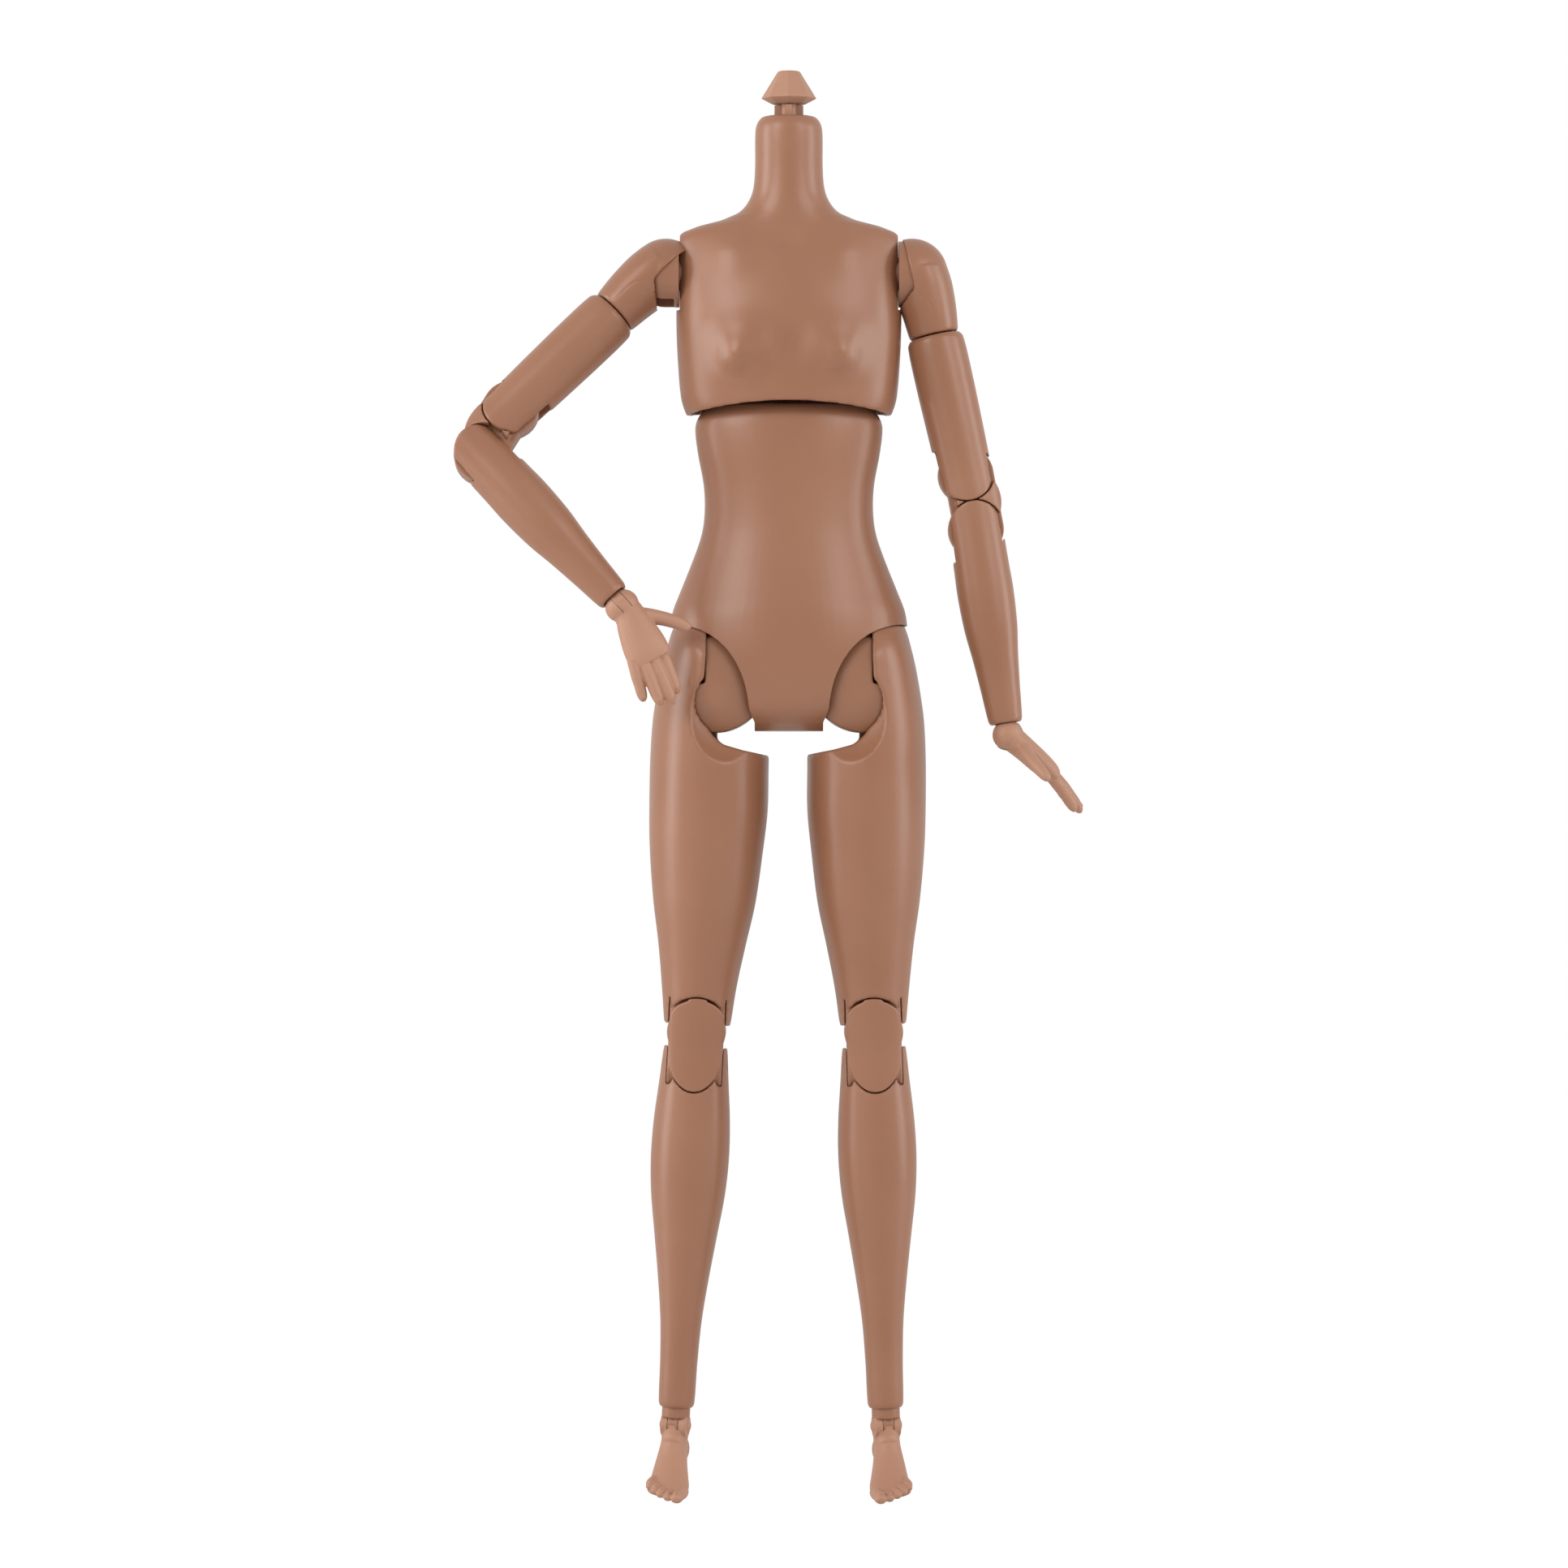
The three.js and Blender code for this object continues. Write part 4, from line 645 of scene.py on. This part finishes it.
ankle_pin_bore = 0.85
vinyl = (0.45, 0.240, 0.156)
vinyl_shade = (0.39, 0.195, 0.122)
soft_vinyl = doll_plastic("soft_vinyl", vinyl, vinyl_shade, 0.5, 0.000015)


def curve_through(stations, parts):
    """More stations between the given ones, on smooth curves."""
    drawn = []
    for k in range(len(stations) - 1):
        a, b, c, d = (stations[min(max(i, 0), len(stations) - 1)] for i in (k - 1, k, k + 1, k + 2))
        for part in range(parts):
            t = part / parts
            drawn.append([0.5 * (2 * q + (r - p) * t + (2 * p - 5 * q + 4 * r - s) * t**2
                                 + (3 * q - p - 3 * r + s) * t**3) for p, q, r, s in zip(a, b, c, d)])
    return drawn + [list(stations[-1])]


def drawn_limb(stations, across=(1, 0, 0), sides=20, parts=4):
    """A closed limb through rings that stand square to its path."""
    rings = []
    stations = curve_through(stations, parts)
    path = [Vector(station[:3]) for station in stations]
    for k, (x, y, z, wide, thick) in enumerate(stations):
        along = (path[min(k + 1, len(path) - 1)] - path[max(k - 1, 0)]).normalized()
        depth = along.cross(Vector(across)).normalized()
        width = depth.cross(along).normalized()
        bpy.ops.mesh.primitive_circle_add(vertices=sides, radius=1)
        ring = bpy.context.object
        turned = Matrix((width * wide, depth * thick, along)).transposed().to_4x4()
        ring.matrix_world = Matrix.Translation(path[k]) @ turned
        rings.append(ring)
    bpy.ops.object.select_all(action="DESELECT")
    for ring in rings:
        ring.select_set(True)
    bpy.context.view_layer.objects.active = rings[0]
    bpy.ops.object.join()
    bpy.ops.object.transform_apply(location=True, rotation=True, scale=True)
    bpy.ops.object.mode_set(mode="EDIT")
    bpy.ops.mesh.select_all(action="SELECT")
    bpy.ops.mesh.bridge_edge_loops()
    bpy.ops.mesh.select_all(action="SELECT")
    bpy.ops.mesh.fill_holes(sides=0)
    bpy.ops.mesh.select_all(action="SELECT")
    bpy.ops.mesh.normals_make_consistent(inside=False)
    bpy.ops.object.mode_set(mode="OBJECT")
    return rings[0]


def foot_place(name):
    turned = Matrix.Rotation(math.radians(outward[name] * foot_turn[name]), 4, "Z")
    return leg_place(name, knee_upper + knee_link_length + calf_length + ankle_gap) @ turned


foot = drawn_limb(foot_stations, sides=28)
heel = ball(1, (0, 2.2, -4.8), (2.4, 2.7, 3.2), sides=32)
ankle = ball(1, (0, 0, 0), (3.1, 2.4, 2.35), sides=48)
foot = together(foot, heel, ankle, rod(2.25, -2.5, 2.5, "x", sides=48))
for base_x, tip_x, reach, radius, low in toes:
    toe = drawn_limb([
        (base_x * 0.9, -7.6, low + 1.1, radius * 0.9, radius * 0.7),
        (base_x, -9.4, low + 0.5, radius, radius * 0.95),
        (base_x, (reach - 9.4) / 2, low + 0.25, radius * 0.96, radius * 0.92),
        (tip_x, reach + 1.6, low, radius, radius * 0.88),
        (tip_x, reach + 0.5, low - 0.3, radius * 0.85, radius * 0.7),
        (tip_x, reach + 0.1, low - 0.45, radius * 0.45, radius * 0.38),
    ], sides=16)
    nail = ball(1, (tip_x, reach + 1.1, low + radius * 0.72),
                (radius * 0.62, radius * 0.8, radius * 0.24), sides=16)
    foot = together(foot, toe, nail)
foot = moulded(foot, 0.14, 4)
foot = worked(foot, "DIFFERENCE", block((-ankle_slot_half, -20, 0.1), (ankle_slot_half, 20, 6)),
              rod(2.33, -ankle_slot_half - 0.01, ankle_slot_half + 0.01, "x", sides=64),
              rod(ankle_pin_bore, -2.5, 2.5, "x"))
edged(foot, 60)
paired(foot, "foot", foot_place, material=soft_vinyl, slot_name="soft_vinyl")

# Ankle peg, a hard nylon part that turns in the calf. Its round eye fills the slot in the foot, where a cross
# pin holds it, and two small knobs stand at the front below its collar.
peg_eye_half = 1.06


def peg(radius, low, high, eye, half, axis):
    """A round peg with a neck and an eye for the pin of a hinge."""
    body = rod(radius, low, high, "z", sides=32)
    wide, deep = (half, 1.6) if axis == "x" else (1.5, half)
    neck = block((-wide, -deep, 0), (wide, deep, low + 0.5))
    return worked(body, "UNION", neck, rod(eye, -half - 0.01, half + 0.01, axis, sides=48))


ankle_peg = peg(2, 3, 11.4, 2.3, peg_eye_half, "x")
collar = rod(2.7, 1.5, 3.7, "z", sides=48)
collar = worked(collar, "DIFFERENCE", ball(1, (0, 0, 0), (3.3, 2.55, 2.5), sides=64))
knobs = [ball(0.52, (x, -1.6, 1.6), sides=24) for x in (-0.56, 0.56)]
ankle_peg = worked(ankle_peg, "UNION", collar, *knobs)
ankle_peg = worked(ankle_peg, "DIFFERENCE", rod(ankle_pin_bore, -9, 9, "x"))
ankle_peg = moulded(ankle_peg, 0.14, 2)
paired(ankle_peg, "ankle_peg", foot_place, slot_name="nylon")

# Arms. The hub turns in the chest, the cap hinges on it like a second skin, the upper arm turns on the cap's
# peg, a link with two pins makes the elbow, and the hand hinges on a peg that turns in the forearm. First comes
# the hub, a half ball with a flat face towards the chest and a stem with a wider head that is held inside.
arm_pose = {
    "right": {"swing": 13, "raise": 45, "upper": 14.4, "lower": 73, "turn": 90, "bend": 0},
    "left": {"swing": 3, "raise": 12.5, "upper": 2, "lower": 1.8, "turn": 0, "bend": 42},
}
shoulder_x = 23.5
shoulder_radius = 6.3
hub_face = -2.55
arm_offset = 1.6
cap_end = 12.4
elbow_along = 39.8
elbow_link_length = 10.6
elbow_radius = 5.2
elbow_half = 5
wrist_along = 39.6


def arm_place(name, piece):
    """Where a piece of an arm hangs; each piece follows from the one above it."""
    side = outward[name]
    pose = {key: math.radians(value) for key, value in arm_pose[name].items()}
    shoulder = torso_place @ Matrix.Translation((side * shoulder_x, 0, shoulder_height))
    hub = shoulder @ Matrix.Rotation(-pose["swing"], 4, "X")
    cap = hub @ Matrix.Rotation(-side * pose["raise"], 4, "Y")
    upper = cap @ Matrix.Translation((side * arm_offset, 0, 0))
    link = upper @ Matrix.Translation((0, 0, -elbow_along)) @ Matrix.Rotation(side * pose["upper"], 4, "Y")
    lower = link @ Matrix.Translation((0, 0, -elbow_link_length)) @ Matrix.Rotation(side * pose["lower"], 4, "Y")
    wrist = lower @ Matrix.Translation((0, 0, -wrist_along)) @ Matrix.Rotation(-side * pose["turn"], 4, "Z")
    hand = wrist @ Matrix.Rotation(-side * pose["bend"], 4, "Y")
    return {"hub": hub, "cap": cap, "upper_arm": upper, "elbow_link": link, "forearm": lower,
            "wrist_peg": wrist, "hand": hand}[piece]


hub = ball(shoulder_radius, (0, 0, 0), sides=72)
hub = worked(hub, "UNION", rod(shoulder_radius, hub_face - 1, 0, "x", sides=72))
hub = worked(hub, "DIFFERENCE", block((-1.6, -2.5, -20), (20, 2.5, 1.6)))
hub = moulded(hub, 0.2, 2)
hub = worked(hub, "DIFFERENCE", block((-20, -20, -20), (hub_face, 20, 20)))
hub = worked(hub, "UNION", rod(3.2, -9.7, hub_face + 0.5, "x"), rod(4.6, -11.7, -9.65, "x"))
edged(hub)
paired(hub, "shoulder_hub", arm_place, "hub", rides_on="shoulder")

# Shoulder cap: a rounded shell over the hub that narrows to the seam of the upper arm. It is open towards the
# chest, hinges on a pin through the hub and ends in a peg, and a fine crease runs down its front and its back.
cap_hollow_radius = 6.38
cap_pin_bore = 1.1
cap_rows = [
    (0.3, 5.25, 5.6, 6.8, 6.8),
    (-2, 5.5, 5.65, 6.72, 6.72),
    (-4, 5.55, 5.55, 6.5, 6.5),
    (-8, 5.3, 5.1, 5.9, 5.9),
    (-11.9, 4.75, 4.75, 5.2, 5.2),
    (-cap_end, 4.5, 4.5, 4.9, 4.9),
]
cap_rows = [(z, out + arm_offset, inn - arm_offset, front, back) for z, out, inn, front, back in cap_rows]
cap = drawn_body("shoulder_cap_left", cap_rows, step=0.8, sides=56)
near = worked(ball(6.95, (0, 0, 0), sides=72), "INTERSECT", block((-20, -20, -20), (-0.4, 20, 20)))
inner_side = block((-20.1, -20.1, -20.1), (-0.39, 20.1, 20.1))
inner_side = sliced(inner_side, ((-0.39, 0, -2.2), (0.743, 0, -0.669)))
cap = worked(cap, "UNION", ball(6.85, (0, 0, 0), sides=72))
cap = worked(cap, "DIFFERENCE", ball(cap_hollow_radius, (0, 0, 0), sides=72), near, inner_side)
for front in (-1, 1):
    crease = []
    for x, z in ((-1.6, -3.4), (-0.2, -4.4), (1.0, -5.6), (1.9, -7.4), (2.1, -13)):
        found, spot, *_ = cap.ray_cast(Vector((x, front * 20, max(z, -12))), Vector((0, -front, 0)))
        if found:
            crease.append((x, spot.y + front * 0.16, z, 0.26, 0.26))
    cap = worked(cap, "DIFFERENCE", drawn_limb(crease, sides=12))
cap = worked(cap, "UNION", rod(3, -18.4, -cap_end + 1, "z", (arm_offset, 0, 0)),
             block((-1.3, -2.2, -7.9), (1.3, 2.2, 0)), rod(2.1, -2.2, 2.2, "y"))
cap = worked(cap, "DIFFERENCE", rod(cap_pin_bore, -cap_hollow_radius, cap_hollow_radius, "y"))
cap = moulded(cap, 0.2, 2)
paired(cap, "shoulder_cap", arm_place, "cap")

# Upper arm and forearm: plain soft tubes with forked ends round the elbow's pins. The upper arm has a deep round
# hole for the cap's peg; the forearm tapers to a rounded wrist with a hole for the wrist peg.
elbow_slot_half = 2.3
elbow_slot_radius = 5.6
upper_arm_rows = [
    (-12.7, 4.9, 4.9, 5, 5),
    (-13.5, 5.4, 5.4, 5.4, 5.4),
    (-20, 5.55, 5.55, 5.5, 5.5),
    (-31, 5.4, 5.4, 5.3, 5.3),
    (-elbow_along, elbow_radius, elbow_radius, elbow_half, elbow_half),
    (-elbow_along - 5.6, elbow_radius, elbow_radius, elbow_half, elbow_half),
]
forearm_rows = [
    (5.6, elbow_radius, elbow_radius, elbow_half, elbow_half),
    (0, elbow_radius, elbow_radius, elbow_half, elbow_half),
    (-7.4, 5.3, 5.3, 5.2, 5.2),
    (-12, 5.4, 5.4, 5.2, 5.2),
    (-18.8, 5.1, 5.1, 4.9, 4.9),
    (-24.5, 4.4, 4.4, 4.2, 4.2),
    (-30.5, 3.8, 3.8, 3.6, 3.6),
    (-36.7, 3.25, 3.25, 3.15, 3.15),
    (-37.4, 2.95, 2.95, 2.9, 2.9),
]


def forked(shaft, pin_z, open_to):
    """Rounds the end of an arm about its pin, and cuts the slot for the link and the pin's blind hole."""
    low, high = sorted((pin_z, pin_z - open_to * 60))
    kept = worked(block((-20, -20, low), (20, 20, high)), "UNION",
                  rod(elbow_radius, -20.1, 20.1, "y", (0, 0, pin_z), sides=96))
    shaft = worked(shaft, "INTERSECT", kept)
    low, high = sorted((pin_z, pin_z + open_to * 20))
    slot = rod(elbow_slot_radius, -elbow_slot_half, elbow_slot_half, "y", (0, 0, pin_z), sides=48)
    inner_side = block((-20, -2.28, pin_z - elbow_slot_radius), (0, 2.28, pin_z + elbow_slot_radius))
    return worked(shaft, "DIFFERENCE", slot, block((-20, -2.29, low), (20, 2.29, high)), inner_side,
                  rod(pin_socket, -4.3, 4.3, "y", (0, 0, pin_z)))


upper_arm = forked(drawn_body("upper_arm_left", upper_arm_rows, step=1, sides=48), -elbow_along, -1)
upper_arm = worked(upper_arm, "DIFFERENCE", rod(3.3, -18.7, 0, "z"))
upper_arm = moulded(upper_arm, 0.24, 2)
forearm = forked(drawn_body("forearm_left", forearm_rows, step=1, sides=48), 0, 1)
forearm = worked(forearm, "DIFFERENCE", rod(2.4, -40, -29.6, "z"))
forearm = moulded(forearm, 0.24, 2)
paired(upper_arm, "upper_arm", arm_place, "upper_arm")
paired(forearm, "forearm", arm_place, "forearm")

# Elbow link: a plate with two pins in the forks, so that the elbow bends twice. A lobe to each side of the plate
# fills the gap between the arms, a large round one on the outside and a small one on the inside of the bend.
link_radius = 5.3
lobe_gap_radius = 5.42
link_middle = -elbow_link_length / 2
elbow_link = rod(link_radius, -2, 2, "y", sides=64)
elbow_link = worked(elbow_link, "UNION", rod(link_radius, -2, 2, "y", (0, 0, -elbow_link_length), sides=64),
                    block((-4.1, -1.99, -elbow_link_length), (link_radius, 1.99, 0)))
outer_lobe = rod(1, -6, 6, "y", stretch=(5.8, 1, 6.2), sides=64)
outer_lobe = worked(outer_lobe, "DIFFERENCE", block((-20, -20, -20), (0, 20, 20)))
inner_lobe = rod(1, -5.9, 5.9, "y", stretch=(2.8, 1, 4), sides=64)
lobes = worked(outer_lobe, "UNION", inner_lobe)
lobes = worked(lobes, "INTERSECT", rod(1, -7, 7, "z", stretch=(6.3, 4.95, 1), sides=96))
lobes = moved(lobes, (0, 0, link_middle))
lobes = worked(lobes, "DIFFERENCE", rod(lobe_gap_radius, -20, 20, "y", sides=96),
               rod(lobe_gap_radius, -20.1, 20.1, "y", (0, 0, -elbow_link_length), sides=96))
elbow_link = worked(elbow_link, "UNION", lobes)
elbow_link = worked(elbow_link, "DIFFERENCE", rod(pin_bore, -20, 20, "y"),
                    rod(pin_bore, -20, 20, "y", (0, 0, -elbow_link_length)))
elbow_link = moulded(elbow_link, 0.18, 2)
paired(elbow_link, "elbow_link", arm_place, "elbow_link")

# Hand, in soft vinyl: a slim palm, a thumb that points forward and four fingers that fan back a little, with
# knuckles and nails. The wrist is a ball with a slot for the peg's eye. A finger is (base, tip, radius), and
# its swellings say how thick it is from its base to its tip.
wrist_pin_bore = 0.75
palm_stations = [
    (0, 0, 0.8, 2.6, 2.2),
    (0, 0, -0.4, 2.9, 2.5),
    (0, 0.2, -2.6, 3, 2.4),
    (0, 0.9, -4.8, 3.5, 2.3),
    (-0.1, 1.9, -8, 4.1, 2.2),
    (-0.2, 2.7, -10.6, 4.2, 1.9),
    (-0.3, 3, -11.8, 3.8, 1.4),
]
fingers = [
    ((-0.7, -0.2, -9.6), (-2.9, 3.2, -19.2), 1.2),
    ((-0.2, 1.9, -9.8), (-2.3, 5.3, -20.2), 1.22),
    ((0.1, 3.9, -9.6), (-2.0, 7.2, -18.9), 1.18),
    ((0.3, 5.7, -9.2), (-2.0, 9.1, -16.2), 1.04),
]
thumb_stations = [
    (0, 0.2, -2.4, 1.5, 1.4),
    (-0.5, -1.8, -4.2, 1.65, 1.5),
    (-1.1, -3.9, -6.4, 1.4, 1.3),
    (-1.6, -5.5, -8.7, 1.3, 1.2),
    (-1.95, -6.4, -10.4, 1.15, 1),
    (-2.1, -6.8, -11.3, 0.8, 0.65),
    (-2.15, -6.9, -11.6, 0.4, 0.3),
]
swellings = ((0, 1), (0.22, 1.05), (0.42, 1.1), (0.6, 1.02), (0.78, 1), (0.9, 0.85), (0.96, 0.62), (1, 0.3))
finger_flatness = 0.92
nail_along = 0.86

hand = drawn_limb(palm_stations, across=(0, 1, 0), sides=24)
wrist = ball(1, (0, 0, 0), (3.0, 3.3, 2.98), sides=64)
hand = together(hand, drawn_limb(thumb_stations, across=(0, 1, 0), sides=18), wrist)
for base, tip, radius in fingers:
    stations = []
    for t, swell in swellings:
        x, y, z = (a + (b - a) * t for a, b in zip(base, tip))
        stations.append((x + 1.6 * t * (1 - t), y, z, radius * swell, radius * swell * finger_flatness))
    x, y, z = (a + (b - a) * nail_along for a, b in zip(base, tip))
    nail = ball(1, (x + 0.19 + radius * 0.62, y, z), (0.28, radius * 0.55, 0.95), sides=16)
    hand = together(hand, drawn_limb(stations, across=(0, 1, 0), sides=16), nail)
hand = moulded(hand, 0.13, 5)
hand = worked(hand, "DIFFERENCE", rod(2.9, -1.12, 1.12, "y", sides=64), block((-20, -1.11, 0), (20, 1.11, 6)),
              rod(wrist_pin_bore, -2.4, 2.4, "y"))
edged(hand, 60)
paired(hand, "hand", arm_place, "hand", material=soft_vinyl, slot_name="soft_vinyl")

# Wrist peg, in the colour of the hand. It turns in the forearm, and its round eye is the middle knuckle of the
# wrist's hinge, where a fine cross pin holds the hand.
wrist_peg = peg(2.1, 3.1, 9.7, 2.85, peg_eye_half, "y")
wrist_peg = worked(wrist_peg, "DIFFERENCE", rod(0.7, -9, 9, "y"))
wrist_peg = moulded(wrist_peg, 0.12, 2)
paired(wrist_peg, "wrist_peg", arm_place, "wrist_peg", material=soft_vinyl, slot_name="nylon")

# Plug for the head: a ribbed stem and a cone with eight flat faces that the head is pushed onto, in the soft
# vinyl of the hands. The stem goes down into the round hole of the neck.
plug_height = 265.7
plug_place = torso_place @ Matrix.Translation((0, 0, plug_height))
knob_rows = [(0, 3.2, 3.2, 3.2, 3.2), (1.1, 5.3, 5.3, 5.3, 5.3), (6.3, 2.1, 2.1, 2.1, 2.1)]
knob = drawn_body("head_plug_knob", knob_rows, step=100, sides=8)
knob = worked(knob, "DIFFERENCE", rod(1.8, -1, 3.3, "z"))
knob = moulded(knob, 0.16, 3)
fitted(knob, plug_place, soft_vinyl, "head_plug", ["neck_knob"])

# Pins, pegs and the waist's inner pieces stay as the frame has them, in a nylon of nearly the same colour. Only
# the pins' ends show, flush with the plastic; the stem of the head's plug has the colour of its cone.
nylon = doll_plastic("tan_nylon", (0.28, 0.128, 0.078), (0.24, 0.104, 0.06), 0.36, 0.000008)
for name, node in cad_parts.items():
    kept = node if hasattr(node, "material_slots") else bpy.data.objects.get(name)
    if kept and not kept.hide_render:
        for slot in kept.material_slots:
            slot.material = soft_vinyl if name == "neck_post" else nylon

# Floor, light and camera. The doll stands on plain white paper in a white room. Two lamps in front and one at
# each side light it softly, and the camera looks at it straight from the front through a long lens.
floor_height = -0.1872
camera_distance = 1.1
frame_width = 0.2995
film_width = 36
bpy.ops.object.select_all(action="DESELECT")
bpy.ops.mesh.primitive_plane_add(size=6, location=(0, 0, floor_height))
floor = bpy.context.object
floor.name = "studio_floor"
floor_paper = bpy.data.materials.new("white_paper")
floor_paper.use_nodes = True
tree = floor_paper.node_tree
paper = tree.nodes["Principled BSDF"]
paper.inputs["Base Color"].default_value = (0.9, 0.9, 0.9, 1)
paper.inputs["Roughness"].default_value = 0.9
glow = tree.nodes.new("ShaderNodeEmission")
glow.inputs["Strength"].default_value = 1.04
mix = tree.nodes.new("ShaderNodeMixShader")
rays = tree.nodes.new("ShaderNodeLightPath")
scaled = Wire(tree, rays.outputs["Is Camera Ray"]) * 0.93
tree.links.new(scaled.socket, mix.inputs[0])
tree.links.new(paper.outputs[0], mix.inputs[1])
tree.links.new(glow.outputs[0], mix.inputs[2])
tree.links.new(mix.outputs[0], tree.nodes["Material Output"].inputs["Surface"])
floor.data.materials.append(floor_paper)

world = bpy.data.worlds.new("studio")
bpy.context.scene.world = world
world.use_nodes = True
tree = world.node_tree
background = tree.nodes["Background"]
background.inputs["Color"].default_value = (1, 1, 1, 1)
rays = tree.nodes.new("ShaderNodeLightPath")
camera_rays = Wire(tree, rays.outputs["Is Camera Ray"])
seen = camera_rays.maths("MAXIMUM", camera_rays, Wire(tree, rays.outputs["Is Glossy Ray"]) * 0.8)
tree.links.new((seen * 0.5 + 0.5).socket, background.inputs["Strength"])


def softbox(name, at, towards, size, power):
    light = bpy.data.lights.new(name, "AREA")
    light.shape = "RECTANGLE"
    light.size, light.size_y = size
    light.energy = power
    lamp = bpy.data.objects.new(name, light)
    bpy.context.collection.objects.link(lamp)
    lamp.location = at
    lamp.rotation_euler = (Vector(towards) - Vector(at)).to_track_quat("-Z", "Y").to_euler()


softbox("key_softbox", (-0.65, -0.7, 0.45), (0, 0, -0.05), (0.45, 0.55), 4.1)
softbox("fill_softbox", (0.65, -0.7, 0.45), (0, 0, -0.05), (0.45, 0.55), 2.8)
softbox("left_softbox", (-0.9, -0.12, 0.02), (0, 0, -0.07), (0.35, 0.9), 5.4)
softbox("right_softbox", (0.9, -0.12, 0.02), (0, 0, -0.07), (0.35, 0.9), 4.2)

camera = bpy.data.objects.new("camera", bpy.data.cameras.new("camera"))
bpy.context.collection.objects.link(camera)
camera.location = (-0.00093, -camera_distance, -0.0511)
camera.rotation_euler = (math.radians(90), 0, 0)
camera.data.lens = film_width * camera_distance / frame_width
bpy.context.scene.camera = camera
bpy.context.scene.view_settings.view_transform = "Standard"
